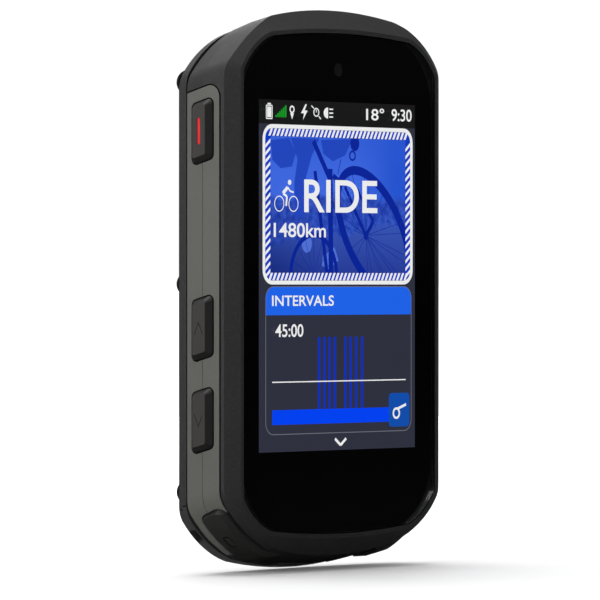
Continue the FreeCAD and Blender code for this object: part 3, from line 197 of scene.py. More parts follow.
def make_button_shade_effect():
    """Painted shade on the buttons: the side ones' bevels and the corner ones whole."""
    group, n, given, out = effect_group("painted_button_shade", {"Above": -31.0}, ["Slope"])
    normal, place = n.add("ShaderNodeSeparateXYZ"), n.add("ShaderNodeSeparateXYZ")
    n.feed(n.add("ShaderNodeNewGeometry").outputs["Normal"], normal.inputs[0])
    n.feed(n.place(), place.inputs[0])
    level = n.math("ABSOLUTE", normal.outputs["X"])
    higher = n.math("GREATER_THAN", place.outputs["Z"], n.math("MULTIPLY", given["Above"], MM))
    bevel = n.math("MULTIPLY", n.ramp(level, 0.84, 0.96, 1.0, 0.0), higher)
    corner = n.math("MULTIPLY", n.math("SUBTRACT", 1.0, higher), 0.55)
    n.feed(n.math("ADD", bevel, corner), out["Slope"])
    return group


GRAIN, HANDLING = make_grain_effect(), make_handling_effect()
EDGE_HIGHLIGHT, DUST = make_edge_highlight_effect(), make_dust_effect()
JOINT_SHADE, BUTTON_SHADE = make_joint_shade_effect(), make_button_shade_effect()


def effect(nodes, group, **values):
    node = nodes.add("ShaderNodeGroup", node_tree=group)
    for name, value in values.items():
        node.inputs[name].default_value = value
    return node.outputs


def grey(level):
    return (level, level, level, 1.0)


def tint(colour, factor):
    return tuple(min(1.0, c * factor) for c in colour[:3]) + (1.0,)


def moulded(name, colour, rough, pitch=0.25, depth=0.012, tone=0.12, cloud=0.10, edge=1.5, edge_width=0.15,
            dust=0.0, size=14.0, specular=0.5, sheen=0.0, metal=0.0, coat=0.0, joint_shade=0.0, button_shade=0.0):
    """A moulded, cast or coated finish: grain in mm, slow clouding, edges painted lighter as a highlight, and
    optional painted shade in the joints and on button bevels.
    """
    material = bpy.data.materials.new(name)
    material.use_nodes = True
    material.node_tree.nodes.clear()
    n = Nodes(material.node_tree)
    surface = n.add("ShaderNodeBsdfPrincipled")
    n.tree.links.new(surface.outputs["BSDF"], n.add("ShaderNodeOutputMaterial").inputs["Surface"])
    grain = effect(n, GRAIN, Pitch=pitch)
    handling = effect(n, HANDLING, Size=size)
    base = n.mix(grain["Tone"], tint(colour, 1.0 - tone), tint(colour, 1.0 + tone))
    base = n.mix(n.math("MULTIPLY", handling["Cloud"], cloud), base, tint(colour, 1.45))
    # painted highlight: edges lighter in colour, broken up by noise
    if edge:
        edge_highlight = effect(n, EDGE_HIGHLIGHT, Width=edge_width)["Edge"]
        base = n.mix(n.math("MULTIPLY", edge_highlight, 0.6), base, tint(colour, 1.0 + edge))
    if dust:
        specks = effect(n, DUST, Amount=dust)["Dust"]
        base = n.mix(specks, base, grey(0.35))
    # painted shade: button bevels and corner buttons darkened in colour
    if button_shade:
        base = n.mix(n.math("MULTIPLY", effect(n, BUTTON_SHADE)["Slope"], button_shade), base, tint(colour, 0.1))
    # painted shade: the colour goes nearly black in joints and gaps
    if joint_shade:
        base = n.mix(n.math("MULTIPLY", effect(n, JOINT_SHADE)["Crevice"], joint_shade), base, grey(0.001))
    n.feed(base, surface.inputs["Base Color"])
    n.feed(n.ramp(handling["Rub"], 0.0, 1.0, rough, max(0.05, rough - 0.10)), surface.inputs["Roughness"])
    bump = n.add("ShaderNodeBump", {"Strength": 1.0, "Distance": depth * MM})
    n.feed(grain["Height"], bump.inputs["Height"])
    n.feed(bump.outputs["Normal"], surface.inputs["Normal"])
    surface.inputs["Specular IOR Level"].default_value = specular
    surface.inputs["Metallic"].default_value = metal
    surface.inputs["Coat Weight"].default_value = coat
    surface.inputs["Coat Roughness"].default_value = 0.12
    if sheen:
        surface.inputs["Sheen Weight"].default_value = sheen
        surface.inputs["Sheen Roughness"].default_value = 0.5
    return material


def brushed(name, colour, rough, stretch=(1.0, 18.0, 18.0)):
    """Rolled sheet: fine scratches along one way, with a duller bloom here and there."""
    material = bpy.data.materials.new(name)
    material.use_nodes = True
    n = Nodes(material.node_tree)
    surface = material.node_tree.nodes["Principled BSDF"]
    lie = n.add("ShaderNodeMapping", {"Scale": stretch})
    n.feed(n.place(), lie.inputs["Vector"])
    scratch = n.noise(lie.outputs["Vector"], 700.0, 4.0, 0.75)
    bloom = effect(n, HANDLING, Size=6.0)["Rub"]
    n.feed(n.mix(scratch, tint(colour, 0.8), tint(colour, 1.15)), surface.inputs["Base Color"])
    n.feed(n.ramp(n.math("ADD", scratch, bloom), 0.3, 1.4, rough, rough + 0.25), surface.inputs["Roughness"])
    bump = n.add("ShaderNodeBump", {"Strength": 0.6, "Distance": 0.004 * MM})
    n.feed(scratch, bump.inputs["Height"])
    n.feed(bump.outputs["Normal"], surface.inputs["Normal"])
    surface.inputs["Metallic"].default_value = 1.0
    return material


def circuit(name):
    """Solder resist over copper: a faint grid of tracks, vias and pads under green lacquer."""
    material = bpy.data.materials.new(name)
    material.use_nodes = True
    n = Nodes(material.node_tree)
    surface = material.node_tree.nodes["Principled BSDF"]
    place = n.place()
    tracks = n.add("ShaderNodeTexBrick", {"Scale": 260.0, "Mortar Size": 0.035, "Color1": grey(0.0),
                                          "Color2": grey(0.25), "Mortar": grey(1.0)})
    turned = n.add("ShaderNodeMapping", {"Rotation": (radians(90), 0, 0)})
    n.feed(place, turned.inputs["Vector"])
    n.feed(turned.outputs["Vector"], tracks.inputs["Vector"])
    vias = n.add("ShaderNodeTexVoronoi", {"Scale": 420.0})
    n.feed(place, vias.inputs["Vector"])
    copper = n.ramp(vias.outputs["Distance"], 0.10, 0.13, 1.0, 0.0)
    green = n.mix(tracks.outputs["Color"], (0.012, 0.085, 0.04, 1), (0.02, 0.16, 0.07, 1))
    n.feed(n.mix(copper, green, (0.75, 0.52, 0.18, 1)), surface.inputs["Base Color"])
    n.feed(n.ramp(n.noise(place, 500.0), 0.3, 0.7, 0.22, 0.4), surface.inputs["Roughness"])
    bump = n.add("ShaderNodeBump", {"Strength": 0.5, "Distance": 0.02 * MM})
    n.feed(tracks.outputs["Fac"], bump.inputs["Height"])
    n.feed(bump.outputs["Normal"], surface.inputs["Normal"])
    return material


def clear(name, colour, rough, ior=1.5, smudge=0.03):
    """A transparent piece with the faintest finger smears in its gloss."""
    material = bpy.data.materials.new(name)
    material.use_nodes = True
    n = Nodes(material.node_tree)
    surface = material.node_tree.nodes["Principled BSDF"]
    rub = effect(n, HANDLING, Size=26.0)["Rub"]
    n.feed(n.ramp(rub, 0.0, 1.0, rough, rough + smudge), surface.inputs["Roughness"])
    n.feed(n.mix(rub, colour, tint(colour, 0.97)), surface.inputs["Base Color"])
    surface.inputs["Transmission Weight"].default_value = 1.0
    surface.inputs["IOR"].default_value = ior
    return material


def lit(name, colour, strength=1.0, base=0.0, shade=None, rough=0.35):
    """A lit part of the screen. shade(nodes, place) may return its own colour over the surface."""
    material = bpy.data.materials.new(name)
    material.use_nodes = True
    n = Nodes(material.node_tree)
    surface = material.node_tree.nodes["Principled BSDF"]
    surface.inputs["Base Color"].default_value = grey(base)
    surface.inputs["Roughness"].default_value = rough
    surface.inputs["Specular IOR Level"].default_value = 0.0
    place = n.place()
    picture = shade(n, place) if shade else colour
    rows = n.add("ShaderNodeTexWave", {"Scale": 1100.0, "Distortion": 0.0}, bands_direction="Z")
    n.feed(place, rows.inputs["Vector"])
    row_shade = n.ramp(rows.outputs["Fac"], 0.0, 1.0, 0.0, 0.05)
    n.feed(n.mix(row_shade, picture, grey(0.0)), surface.inputs["Emission Color"])
    surface.inputs["Emission Strength"].default_value = strength
    return material


def srgb(red, green, blue):
    def linear(value):
        value = value / 255
        return value / 12.92 if value <= 0.04045 else ((value + 0.055) / 1.055) ** 2.4
    return (linear(red), linear(green), linear(blue), 1.0)


# ---- finishes of the CAD pieces, by the record's slots ------------------------------------

FINISHES = {
    "casing": moulded("casing_grain", (0.021, 0.021, 0.022), 0.52, pitch=0.28, depth=0.026, tone=0.38,
                      cloud=0.10,
                      edge=1.6, edge_width=0.18, dust=0.25, joint_shade=0.9),
    "band": moulded("band_satin", (0.092, 0.094, 0.082), 0.55, pitch=0.18, depth=0.010, tone=0.08, cloud=0.08,
                    edge=0.25, dust=0.15, joint_shade=0.97),
    "button": moulded("button_satin", (0.034, 0.032, 0.031), 0.45, pitch=0.14, depth=0.007, tone=0.10,
                      edge=0.9,
                      edge_width=0.10, joint_shade=0.8, button_shade=0.75),
    "red_inlay": moulded("inlay_red", (0.62, 0.018, 0.02), 0.30, pitch=0.2, depth=0.002, tone=0.05, edge=0.3,
                         edge_width=0.06, coat=0.5),
    "cap_rubber": moulded("cap_rubber", (0.022, 0.022, 0.023), 0.68, pitch=0.16, depth=0.010, tone=0.15,
                          cloud=0.2,
                          edge=0.8, dust=0.5, sheen=0.12, joint_shade=0.8),
    "mount": moulded("mount_nylon", (0.027, 0.027, 0.028), 0.48, pitch=0.35, depth=0.012, tone=0.14,
                     cloud=0.25,
                     edge=1.4, dust=0.2),
    "seal": moulded("seal_silicone", (0.008, 0.008, 0.009), 0.55, pitch=0.3, depth=0.004, edge=0.3),
    "screw": moulded("screw_black_oxide", (0.045, 0.045, 0.048), 0.34, pitch=0.10, depth=0.004, edge=2.5,
                     edge_width=0.08, metal=0.85),
    "adhesive": moulded("foam_tape", (0.012, 0.012, 0.012), 0.8, pitch=0.2, depth=0.02, edge=0.0),
    "foam": moulded("battery_foam", (0.05, 0.05, 0.052), 0.9, pitch=0.3, depth=0.06, edge=0.0),
    "chassis": moulded("cast_alloy", (0.60, 0.61, 0.63), 0.42, pitch=0.2, depth=0.012, tone=0.08, edge=0.3,
                       metal=1.0),
    "chip": moulded("epoxy_package", (0.024, 0.024, 0.026), 0.5, pitch=0.12, depth=0.008, edge=0.8),
    "antenna": moulded("fired_ceramic", (0.62, 0.57, 0.48), 0.45, pitch=0.15, depth=0.006, tone=0.06,
                       edge=0.15),
    "connector": moulded("natural_nylon", (0.74, 0.71, 0.62), 0.45, pitch=0.3, depth=0.004, tone=0.04,
                         edge=0.2),
    "vent": moulded("vent_membrane", (0.80, 0.80, 0.79), 0.85, pitch=0.08, depth=0.02, tone=0.08, edge=0.0),
    "switch_plunger": moulded("plunger_nylon", (0.05, 0.05, 0.052), 0.4, pitch=0.2, depth=0.003, edge=0.4),
    "port_tongue": moulded("port_tongue", (0.018, 0.018, 0.019), 0.4, pitch=0.2, depth=0.003, edge=0.5),
    "sensor": moulded("smoked_lens", (0.045, 0.045, 0.05), 0.12, pitch=0.3, depth=0.0005, tone=0.02,
                      edge=0.0),
    "flex": moulded("amber_film", (0.50, 0.24, 0.04), 0.25, pitch=0.5, depth=0.004, tone=0.06, edge=0.2),
    "battery": brushed("battery_foil", (0.52, 0.54, 0.57), 0.30, (1.0, 6.0, 6.0)),
    "backlight": brushed("backlight_tray", (0.60, 0.60, 0.62), 0.35),
    "shield": brushed("tinned_shield", (0.66, 0.66, 0.67), 0.30),
    "inner_screw": brushed("zinc_screw", (0.55, 0.56, 0.58), 0.30, (1.0, 3.0, 1.0)),
    "port_steel": brushed("port_nickel", (0.60, 0.60, 0.61), 0.24, (18.0, 18.0, 1.0)),
    "switch_body": brushed("switch_cover", (0.60, 0.60, 0.60), 0.30),
    "circuit_board": circuit("solder_resist"),
    "cover_glass": clear("cover_glass", (0.985, 0.99, 0.995, 1.0), 0.0),
    "clear_adhesive": clear("clear_adhesive", (0.98, 0.98, 0.98, 1.0), 0.0, 1.45, 0.0),
    "display": moulded("display_dark", (0.004, 0.004, 0.006), 0.2, pitch=0.2, depth=0.0005, tone=0.02,
                       edge=0.0),
}

for entry in frame["record"]["subparts"]:
    for holder in frame["nodes"][entry["node"]].material_slots:
        holder.material = FINISHES[entry["material_slot"]]

# ---- flat shapes that make the screen's picture --------------------------------------------

panel_low, panel_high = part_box("display_panel")
glass_low, glass_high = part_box("cover_glass")
LIT_BORDER = 1.695              # black edge of the panel around its lit area, mm
LIT_WIDTH = (panel_high.x - panel_low.x) / MM - 2 * LIT_BORDER
LIT_HEIGHT = (panel_high.z - panel_low.z) / MM - 2 * LIT_BORDER - 2.91
CORNER = Vector((panel_low.x + LIT_BORDER * MM, 0, panel_high.z - LIT_BORDER * MM))
SHEET = 0.008                   # thickness of one layer of the picture, mm
STEP = 0.010                    # from one layer's front to the next
GAP_BACK = (panel_low.y / MM) - 0.02
PRINT_LEVEL = 12.5              # the black print lies this many layers in front of the panel
PRINT_INSET = 0.25              # from the edge of the glass to the print
PRINT_CORNER = 11.5             # radius of the print's corners
SENSOR_WINDOW = 1.075           # radius of the clear window over the light sensor


class Layer:
    """Flat shapes of one finish in one layer, drawn in mm right of and below the lit corner."""

    def __init__(self, name, finish, level, finish_slot="display"):
        self.name, self.finish, self.level, self.slot = name, finish, level, finish_slot
        self.mesh = bmesh.new()

    def put(self, verts, middle, size=(1, 1), turn=0.0, shear=0.0):
        """Scales, shears, turns and places new vertices; middle is right of and below the lit corner."""
        lean = Matrix.Identity(4)
        lean[0][1] = shear
        matrix = (Matrix.Translation((middle[0], -middle[1], 0)) @ Matrix.Rotation(-radians(turn), 4, "Z")
                  @ lean @ Matrix.Diagonal((size[0], size[1], 1, 1)))
        bmesh.ops.transform(self.mesh, matrix=matrix, verts=verts)

    def plate(self, left, top, right, bottom, radius=0.0, turn=0.0, shear=0.0):
        made = bmesh.ops.create_grid(self.mesh, x_segments=1, y_segments=1, size=0.5)["verts"]
        face = made[0].link_faces[0]
        size = (right - left, bottom - top)
        if radius:
            bmesh.ops.transform(self.mesh, matrix=Matrix.Diagonal((size[0], size[1], 1, 1)), verts=made)
            done = bmesh.ops.bevel(self.mesh, geom=made, offset=radius, offset_type="OFFSET", segments=7,
                                   profile=0.5, affect="VERTICES", material=-1)
            made = list({v for f in done["faces"] for v in f.verts} | set(done["verts"]))
            face = made[0].link_faces[0]
            size = (1, 1)
        self.put(list(face.verts), ((left + right) / 2, (top + bottom) / 2), size, turn, shear)
        return face

    def rim(self, left, top, right, bottom, radius, width):
        self.hollow(self.plate(left, top, right, bottom, radius), width)

    def hollow(self, face, width):
        bmesh.ops.inset_region(self.mesh, faces=[face], thickness=width, use_boundary=True,
                               use_even_offset=True)
        bmesh.ops.delete(self.mesh, geom=[face], context="FACES")

    def disc(self, middle, radius, squeeze=1.0, segments=40, turn=0.0):
        made = bmesh.ops.create_circle(self.mesh, cap_ends=True, segments=segments, radius=radius)["verts"]
        self.put(made, middle, (squeeze, 1), turn)
        return made[0].link_faces[0]

    def ring(self, middle, radius, width, squeeze=1.0, segments=48, turn=0.0):
        self.hollow(self.disc(middle, radius, squeeze, segments, turn), width)

    def line(self, start, end, width):
        along = (end[0] - start[0], end[1] - start[1])
        middle = ((start[0] + end[0]) / 2, (start[1] + end[1]) / 2)
        length = hypot(*along)
        self.plate(middle[0] - length / 2, middle[1] - width / 2,
                   middle[0] + length / 2, middle[1] + width / 2,
                   turn=atan2(along[1], along[0]) * 180 / pi)

    def path(self, points, width):
        for start, end in zip(points, points[1:]):
            self.line(start, end, width)

    def shape(self, points):
        verts = [self.mesh.verts.new((right, -below, 0)) for right, below in points]
        self.mesh.faces.new(verts)

    def words(self, text, left, top, right, bottom, weight=0.012):
        """Lettering stretched to fill a box."""
        curve = bpy.data.curves.new("lettering", "FONT")
        curve.body, curve.offset = text, weight
        holder = bpy.data.objects.new("lettering", curve)
        bpy.context.scene.collection.objects.link(holder)
        bpy.context.view_layer.update()
        flat = bpy.data.meshes.new_from_object(holder)
        bpy.data.objects.remove(holder)
        xs, ys = [v.co.x for v in flat.vertices], [v.co.y for v in flat.vertices]
        wide, high = (right - left) / (max(xs) - min(xs)), (bottom - top) / (max(ys) - min(ys))
        flat.transform(Matrix.Translation((left, -bottom, 0)) @ Matrix.Diagonal((wide, high, 1, 1))
                       @ Matrix.Translation((-min(xs), -min(ys), 0)))
        self.mesh.from_mesh(flat)
        bpy.data.meshes.remove(flat)

    def finish_up(self):
        """Gives the shapes their thickness and stands them up in front of the display."""
        mesh = self.mesh
        bmesh.ops.remove_doubles(mesh, verts=mesh.verts, dist=1e-5)
        bmesh.ops.recalc_face_normals(mesh, faces=mesh.faces)
        walls = bmesh.ops.extrude_face_region(mesh, geom=mesh.faces[:])["geom"]
        moved = [item for item in walls if isinstance(item, bmesh.types.BMVert)]
        bmesh.ops.translate(mesh, vec=(0, 0, SHEET), verts=moved)
        bmesh.ops.triangulate(mesh, faces=[f for f in mesh.faces if len(f.verts) > 4])
        bmesh.ops.recalc_face_normals(mesh, faces=mesh.faces)
        front = (GAP_BACK - self.level * STEP) * MM
        stand = (Matrix.Translation((CORNER.x, front, CORNER.z)) @ Matrix.Rotation(radians(90), 4, "X")
                 @ Matrix.Diagonal((MM, MM, MM, 1)))
        mesh.transform(stand)
        data = bpy.data.meshes.new(self.name)
        mesh.to_mesh(data)
        mesh.free()
        data.materials.append(self.finish)
        piece = bpy.data.objects.new(self.name, data)
        bpy.context.scene.collection.objects.link(piece)
        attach(piece, "casing")
        return piece

    def trim(self, left, top, right, bottom):
        """Cuts off whatever lies outside a box."""
        for spot, away in (((left, -top), (-1, 0)), ((left, -top), (0, 1)), ((right, -bottom), (1, 0)),
                           ((right, -bottom), (0, -1))):
            parts = self.mesh.verts[:] + self.mesh.edges[:] + self.mesh.faces[:]
            bmesh.ops.bisect_plane(self.mesh, geom=parts, plane_co=(*spot, 0), plane_no=(*away, 0),
                                   clear_outer=True)


def picture_shade(n, place):
    """Hazy blue sky over scrub and a pale road, fading darker to the bottom."""
    axes = n.add("ShaderNodeSeparateXYZ")
    n.feed(place, axes.inputs[0])
    below = n.math("DIVIDE", n.math("SUBTRACT", CORNER.z, axes.outputs["Z"]), MM)
    across = n.math("DIVIDE", n.math("SUBTRACT", axes.outputs["X"], CORNER.x), MM)
    sky = n.mix(n.ramp(across, 22.0, 37.0, smooth=True), srgb(66, 110, 236), srgb(38, 88, 220))
    sky = n.mix(n.ramp(below, 5.0, 13.0, smooth=True), n.mix(0.5, sky, srgb(44, 92, 222)), sky)
    ground = n.mix(n.ramp(below, 18.0, 28.0), srgb(62, 94, 196), srgb(40, 62, 158))
    scrub = n.mix(n.ramp(n.noise(place, 900.0, 5.0, 0.75), 0.35, 0.65), srgb(24, 54, 168), srgb(62, 98, 212))
    ragged = n.math("ADD", below, n.math("MULTIPLY", n.noise(place, 260.0, 4.0, 0.7), 5.0))
    land = n.mix(n.ramp(ragged, 17.6, 18.6), sky, scrub)
    verge = n.math("ADD", ragged, n.math("MULTIPLY", across, 0.10))
    land = n.mix(n.ramp(verge, 25.4, 26.2), land, ground)
    leftward = n.math("MULTIPLY", n.ramp(across, 3.0, 17.0, 1.0, 0.0), n.ramp(below, 17.0, 28.0))
    return n.mix(n.math("MULTIPLY", leftward, 0.75), land, srgb(14, 36, 120))


SCREEN = {
    "slate": lit("screen_slate", srgb(50, 52, 67)),
    "bar": lit("screen_status_bar", srgb(25, 25, 26)),
    "white": lit("screen_white", srgb(252, 252, 252)),
    "green": lit("screen_green", srgb(20, 170, 40)),
    "line": lit("screen_outline", srgb(116, 118, 128)),
    "header": lit("screen_header_blue", srgb(33, 105, 245)),
    "bright": lit("screen_bright_blue", srgb(0, 70, 255)),
    "bars": lit("screen_interval_blue", srgb(18, 52, 190)),
    "badge": lit("screen_badge_blue", srgb(18, 82, 180)),
    "ring": lit("screen_ring_blue", srgb(10, 60, 205)),
    "picture": lit("screen_picture", srgb(60, 100, 230), shade=picture_shade),
    "shadow": lit("screen_far_shapes", srgb(36, 74, 200)),
    "dark": lit("screen_near_shapes", srgb(8, 38, 160)),
    "pale": lit("screen_pale_shapes", srgb(84, 120, 225)),
}
CARD = (1.05, 3.9, 38.75, 29.45)        # picture card
PANE = (2.95, 5.8, 36.85, 27.55)        # the picture inside its striped edge
LIST = (1.75, 29.75, 38.45, 53.45)      # training card


def screen_ground():
    base = Layer("screen_image_base", SCREEN["slate"], 0, "clear_adhesive")
    base.plate(0, 0, LIT_WIDTH, LIT_HEIGHT)
    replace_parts(base.finish_up(), "optical_adhesive")
    bar = Layer("screen_status_bar", SCREEN["bar"], 1)
    bar.plate(0, 0, LIT_WIDTH, 3.85)
    bar.finish_up()


def status_icons():
    white = Layer("screen_status_icons", SCREEN["white"], 2)
    white.rim(1.85, 0.85, 3.45, 3.12, 0.18, 0.17)
    white.plate(2.25, 0.55, 3.05, 0.80)
    white.plate(2.14, 1.14, 3.16, 2.83)
    white.ring((8.25, 1.45), 0.62, 0.26)
    white.shape([(7.80, 2.06), (8.70, 2.06), (8.25, 3.05)])
    white.shape([(11.55, 0.55), (10.45, 2.0), (11.2, 2.0), (10.95, 3.05), (12.1, 1.55), (11.35, 1.55),
                 (11.9, 0.55)])
    white.ring((14.25, 1.78), 0.72, 0.2)
    white.line((13.05, 0.75), (13.65, 1.15), 0.2)
    white.line((14.85, 2.4), (15.4, 2.85), 0.2)
    white.line((14.25, 1.35), (14.25, 1.8), 0.16)
    lamp = white.disc((17.1, 1.82), 0.88, 1.15)
    bmesh.ops.bisect_plane(white.mesh, geom=[lamp, *lamp.edges, *lamp.verts], plane_co=(17.2, 0, 0),
                           plane_no=(1, 0, 0), clear_outer=True)
    for below in (1.2, 1.82, 2.44):
        white.line((17.5, below), (18.45, below), 0.22)
    white.words("18°", 26.8, 0.78, 31.4, 2.76)
    white.words("9:30", 33.3, 0.78, 38.5, 2.76)
    white.finish_up()
    green = Layer("screen_signal_bars", SCREEN["green"], 2)
    for step in range(6):
        left = 4.15 + 0.47 * step
        green.plate(left, 2.45 - 0.32 * step, left + 0.34, 2.75)
    green.finish_up()


def picture_card():
    edge = Layer("screen_card_edge", SCREEN["white"], 1)
    edge.rim(*CARD, 2.3, 0.62)
    edge.finish_up()
    ring = Layer("screen_card_ring", SCREEN["ring"], 1)
    left, top, right, bottom = CARD
    ring.rim(left + 0.66, top + 0.66, right - 0.66, bottom - 0.66, 1.65, 1.2)
    ring.finish_up()
    picture = Layer("screen_picture", SCREEN["picture"], 1)
    picture.plate(PANE[0], PANE[1], PANE[2], PANE[3], 0.4)
    picture.finish_up()
    slashes = Layer("screen_card_slashes", SCREEN["white"], 2)
    start, stop = left + 0.66, right - 0.66
    for step in range(36):
        at = start + 1.3 + step * 0.97
        for high in (top + 0.66, bottom - 1.86):
            slashes.plate(at - 0.26, high, at + 0.26, high + 1.2, shear=0.52)
    for step in range(18):
        at = top + 2.3 + step * 1.22
        for near in (start, stop - 1.2):
            slashes.shape([(near, at + 1.0), (near + 1.2, at), (near + 1.2, at + 0.55), (near, at + 1.55)])
    slashes.finish_up()


def bicycle_scene():
    far = Layer("screen_rider_shapes", SCREEN["shadow"], 2)
    far.shape([(3.0, 6.5), (7.5, 6.0), (9.2, 8.4), (8.2, 10.6), (5.4, 10.9), (3.4, 9.6)])
    far.shape([(7.9, 6.0), (15.0, 6.0), (13.0, 9.0), (11.4, 13.0), (11.0, 18.6), (9.0, 18.8),
               (8.8, 13.2), (9.6, 9.4)])
    far.shape([(15.4, 6.2), (23.4, 5.9), (21.4, 8.6), (18.4, 9.6), (16.0, 8.4)])
    far.trim(*PANE)
    far.finish_up()
    pale = Layer("screen_shoe_and_chainwheel", SCREEN["pale"], 3)
    pale.disc((11.9, 22.9), 1.45, 0.85)
    pale.shape([(15.9, 24.8), (18.8, 23.4), (19.8, 25.6), (17.4, 27.0), (15.6, 26.4)])
    pale.trim(*PANE)
    pale.finish_up()
    dark = Layer("screen_bicycle_shapes", SCREEN["dark"], 4)
    dark.ring((28.72, 21.03), 12.63, 1.45, 0.577, 72, -39.4)
    dark.ring((13.6, 28.2), 7.1, 0.75, 0.86, 56)
    dark.line((13.5, 6.4), (17.6, 12.4), 0.95)
    dark.line((17.7, 10.8), (17.9, 27.6), 1.15)
    dark.line((13.9, 11.2), (16.9, 27.6), 0.8)
    dark.line((18.4, 11.9), (19.7, 12.7), 0.9)
    dark.line((21.4, 13.6), (26.3, 21.0), 0.62)
    dark.line((24.3, 13.9), (28.6, 19.2), 0.62)
    dark.line((28.6, 19.2), (26.9, 21.3), 0.7)
    dark.disc((26.7, 21.5), 0.72, 0.8)
    dark.disc((23.9, 6.6), 1.25, 0.9)
    dark.ring((23.3, 8.6), 0.85, 0.3)
    dark.line((20.4, 9.2), (19.6, 11.6), 0.14)
    dark.trim(*PANE)
    dark.finish_up()
    spokes = Layer("screen_wheel_spokes", SCREEN["dark"], 5)
    for index in range(22):
        angle = 2 * pi * index / 22 + 0.12 * (index % 2)
        along, over = 11.5 * cos(angle), 6.4 * sin(angle)
        end = (28.72 + along * 0.635 - over * 0.773, 21.03 + along * 0.773 + over * 0.635)
        spokes.line((26.7, 21.5), end, 0.09)
    for index in range(9):
        angle = pi + pi * index / 8
        spokes.line((13.6, 28.2), (13.6 + 5.4 * cos(angle), 28.2 + 6.3 * sin(angle)), 0.08)
    spokes.trim(*PANE)
    spokes.finish_up()


def card_words():
    white = Layer("screen_card_words", SCREEN["white"], 6)
    for middle in (5.05, 8.55):
        white.ring((middle, 16.55), 1.28, 0.16, 0.95)
    white.disc((7.6, 13.12), 0.42)
    white.path([(5.95, 14.9), (7.1, 13.95)], 0.62)
    white.path([(7.15, 13.9), (7.75, 14.55), (8.6, 14.7)], 0.26)
    white.path([(6.0, 14.95), (6.95, 15.35), (6.75, 16.9)], 0.40)
    white.words("RIDE", 11.2, 12.6, 29.6, 17.85)
    white.words("1480km", 3.7, 19.6, 16.6, 21.9)
    white.finish_up()


def training_card():
    left, top, right, bottom = LIST
    edge = Layer("screen_list_edge", SCREEN["line"], 1)
    edge.rim(left, top, right, bottom, 1.9, 0.13)
    edge.finish_up()
    header = Layer("screen_list_header", SCREEN["header"], 2)
    header.plate(left + 0.1, top + 0.1, right - 0.1, bottom, 1.85)
    header.trim(left, top, right, 34.35)
    header.finish_up()
    bars = Layer("screen_interval_bars", SCREEN["bars"], 2)
    for start, rises in ((14.65, (0.0, 1.35, 2.6, 3.95)), (21.25, (0.0, 1.3, 2.7, 4.2))):
        for rise in rises:
            bars.plate(start + rise, 37.9, start + rise + 0.62, 49.45)
    bars.finish_up()
    bright = Layer("screen_effort_bar", SCREEN["bright"], 3)
    bright.plate(3.35, 49.5, 33.5, 51.85)
    bright.finish_up()
    badge = Layer("screen_badge", SCREEN["badge"], 4)
    badge.plate(32.6, 47.2, 37.9, 52.7, 0.7)
    badge.finish_up()
    white = Layer("screen_training_words", SCREEN["white"], 5)
    white.words("INTERVALS", 3.3, 31.2, 18.6, 32.9)
    white.words("45:00", 4.1, 35.8, 11.0, 37.85)
    white.plate(3.35, 44.95, 36.9, 45.13)
    white.ring((34.5, 50.5), 0.95, 0.36)
    white.line((34.9, 49.75), (37.0, 49.1), 0.42)
    white.path([(18.9, 54.35), (20.3, 55.4), (21.7, 54.35)], 0.45)
    white.finish_up()


def glass_print():
    """The black print behind the glass: all but the lit area and the light sensor's window."""
    black = moulded("glass_print_black", (0.0006, 0.0006, 0.0007), 0.6, pitch=0.2, depth=0.0005,
                    tone=0.02, edge=0.0, specular=0.05)
    sheet = Layer("glass_black_print", black, PRINT_LEVEL, "adhesive")
    half_width = (glass_high.x - glass_low.x) / 2 / MM - PRINT_INSET
    half_height = (glass_high.z - glass_low.z) / 2 / MM - PRINT_INSET
    middle = (-CORNER.x / MM, (CORNER.z - (glass_low.z + glass_high.z) / 2) / MM)
    outer = sheet.plate(middle[0] - half_width, middle[1] - half_height, middle[0] + half_width,
                        middle[1] + half_height, PRINT_CORNER)
    window = bmesh.ops.create_circle(sheet.mesh, segments=40, radius=SENSOR_WINDOW)["verts"]
    sensor_low, sensor_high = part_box("light_sensor")
    sheet.put(window, (middle[0], (CORNER.z - (sensor_low.z + sensor_high.z) / 2) / MM))
    screen = bmesh.ops.create_grid(sheet.mesh, x_segments=1, y_segments=1, size=0.5)["verts"]
    sheet.put(screen, (LIT_WIDTH / 2, LIT_HEIGHT / 2), (LIT_WIDTH, LIT_HEIGHT))
    bmesh.ops.delete(sheet.mesh, geom=[outer, screen[0].link_faces[0]], context="FACES_ONLY")
    rims = [edge for edge in sheet.mesh.edges if not edge.link_faces]
    bmesh.ops.triangle_fill(sheet.mesh, use_beauty=True, use_dissolve=False, edges=rims, normal=(0, 0, 1))
    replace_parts(sheet.finish_up(), "glass_adhesive")


screen_ground()
status_icons()
picture_card()
bicycle_scene()
card_words()
training_card()
glass_print()

# ---- studio ------------------------------------------------------------------------------


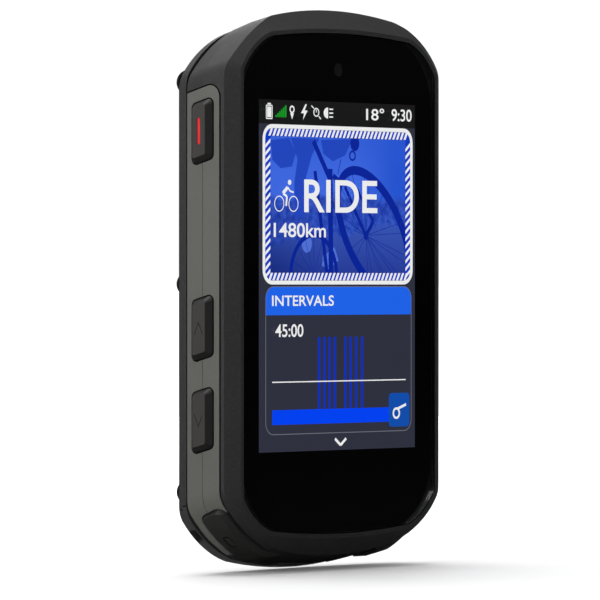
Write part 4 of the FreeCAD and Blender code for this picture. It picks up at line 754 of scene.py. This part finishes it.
def studio_floor():
    mesh = bmesh.new()
    bmesh.ops.create_grid(mesh, x_segments=2, y_segments=2, size=60.0)
    bmesh.ops.translate(mesh, vec=(0, 0, cad_box[0][2] - 0.0002), verts=mesh.verts)
    data = bpy.data.meshes.new("studio_floor")
    mesh.to_mesh(data)
    mesh.free()
    material = bpy.data.materials.new("studio_floor_glowing_paper")
    material.use_nodes = True
    n = Nodes(material.node_tree)
    surface = material.node_tree.nodes["Principled BSDF"]
    place = n.place()
    fibre = n.mix(n.noise(place, 60.0, 3.0), grey(0.86), grey(0.90))
    # painted reflection: to glossy rays the floor is black, so reflections show black instead of the floor
    mirrored = n.add("ShaderNodeLightPath").outputs["Is Glossy Ray"]
    n.feed(n.mix(mirrored, fibre, grey(0.01)), surface.inputs["Base Color"])
    # painted light: the floor glows, weakly near the object where the lamps light it and cast its shadow,
    # fully white further out
    far = n.add("ShaderNodeVectorMath", operation="LENGTH")
    n.feed(place, far.inputs[0])
    glow = n.ramp(far.outputs["Value"], 0.07, 0.45, 0.10, 1.05, smooth=True)
    light = n.add("ShaderNodeCombineColor")
    for name in ("Red", "Green", "Blue"):
        n.feed(glow, light.inputs[name])
    n.feed(n.mix(mirrored, light.outputs["Color"], grey(0.0)), surface.inputs["Emission Color"])
    surface.inputs["Emission Strength"].default_value = 1.0
    surface.inputs["Roughness"].default_value = 0.9
    surface.inputs["Specular IOR Level"].default_value = 0.1
    data.materials.append(material)
    floor = bpy.data.objects.new("studio_floor", data)
    bpy.context.scene.collection.objects.link(floor)


def studio_world():
    world = bpy.data.worlds.new("studio")
    world.use_nodes = True
    bpy.context.scene.world = world
    n = Nodes(world.node_tree)
    seen = n.add("ShaderNodeLightPath").outputs["Is Camera Ray"]
    axes = n.add("ShaderNodeSeparateXYZ")
    n.feed(n.add("ShaderNodeTexCoord").outputs["Generated"], axes.inputs[0])
    up = n.ramp(axes.outputs["Z"], 0.0, 1.0, 0.01, 0.35)
    sky = n.add("ShaderNodeCombineColor")
    for name in ("Red", "Green", "Blue"):
        n.feed(up, sky.inputs[name])
    n.feed(n.mix(seen, sky.outputs["Color"], grey(1.03)), n.tree.nodes["Background"].inputs["Color"])


def softbox(name, place, aim, size, watts, colour=(1, 1, 1)):
    lamp = bpy.data.lights.new(name, "AREA")
    lamp.shape, lamp.size, lamp.size_y = "RECTANGLE", size[0], size[1]
    lamp.energy, lamp.color = watts, colour
    holder = bpy.data.objects.new(name, lamp)
    holder.location = place
    holder.rotation_euler = (Vector(aim) - Vector(place)).to_track_quat("-Z", "Y").to_euler()
    bpy.context.scene.collection.objects.link(holder)


def studio_camera():
    lens = bpy.data.cameras.new("camera")
    lens.lens, lens.sensor_width = 325.4, 36.0
    lens.clip_start, lens.clip_end = 0.01, 200.0
    camera = bpy.data.objects.new("camera", lens)
    camera.location = (-0.6715, -0.5784, 0.0)
    look = Vector((0.762, 0.6475, -0.00304))
    camera.rotation_euler = look.to_track_quat("-Z", "Y").to_euler()
    bpy.context.scene.collection.objects.link(camera)
    bpy.context.scene.camera = camera


studio_floor()
studio_world()
softbox("left_softbox", (-0.75, 0.05, 0.25), (0, 0, 0), (0.7, 0.9), 4.2)
softbox("front_softbox", (-0.25, -0.9, 0.75), (0, 0, 0), (0.6, 0.4), 0.9)
softbox("top_softbox", (0.1, 0.25, 0.9), (0, 0, 0), (1.0, 0.9), 9.0)
softbox("rear_rim_softbox", (0.7, 0.55, 0.3), (0, 0, 0), (0.4, 0.8), 2.0)
studio_camera()
bpy.context.scene.view_settings.view_transform = "Standard"
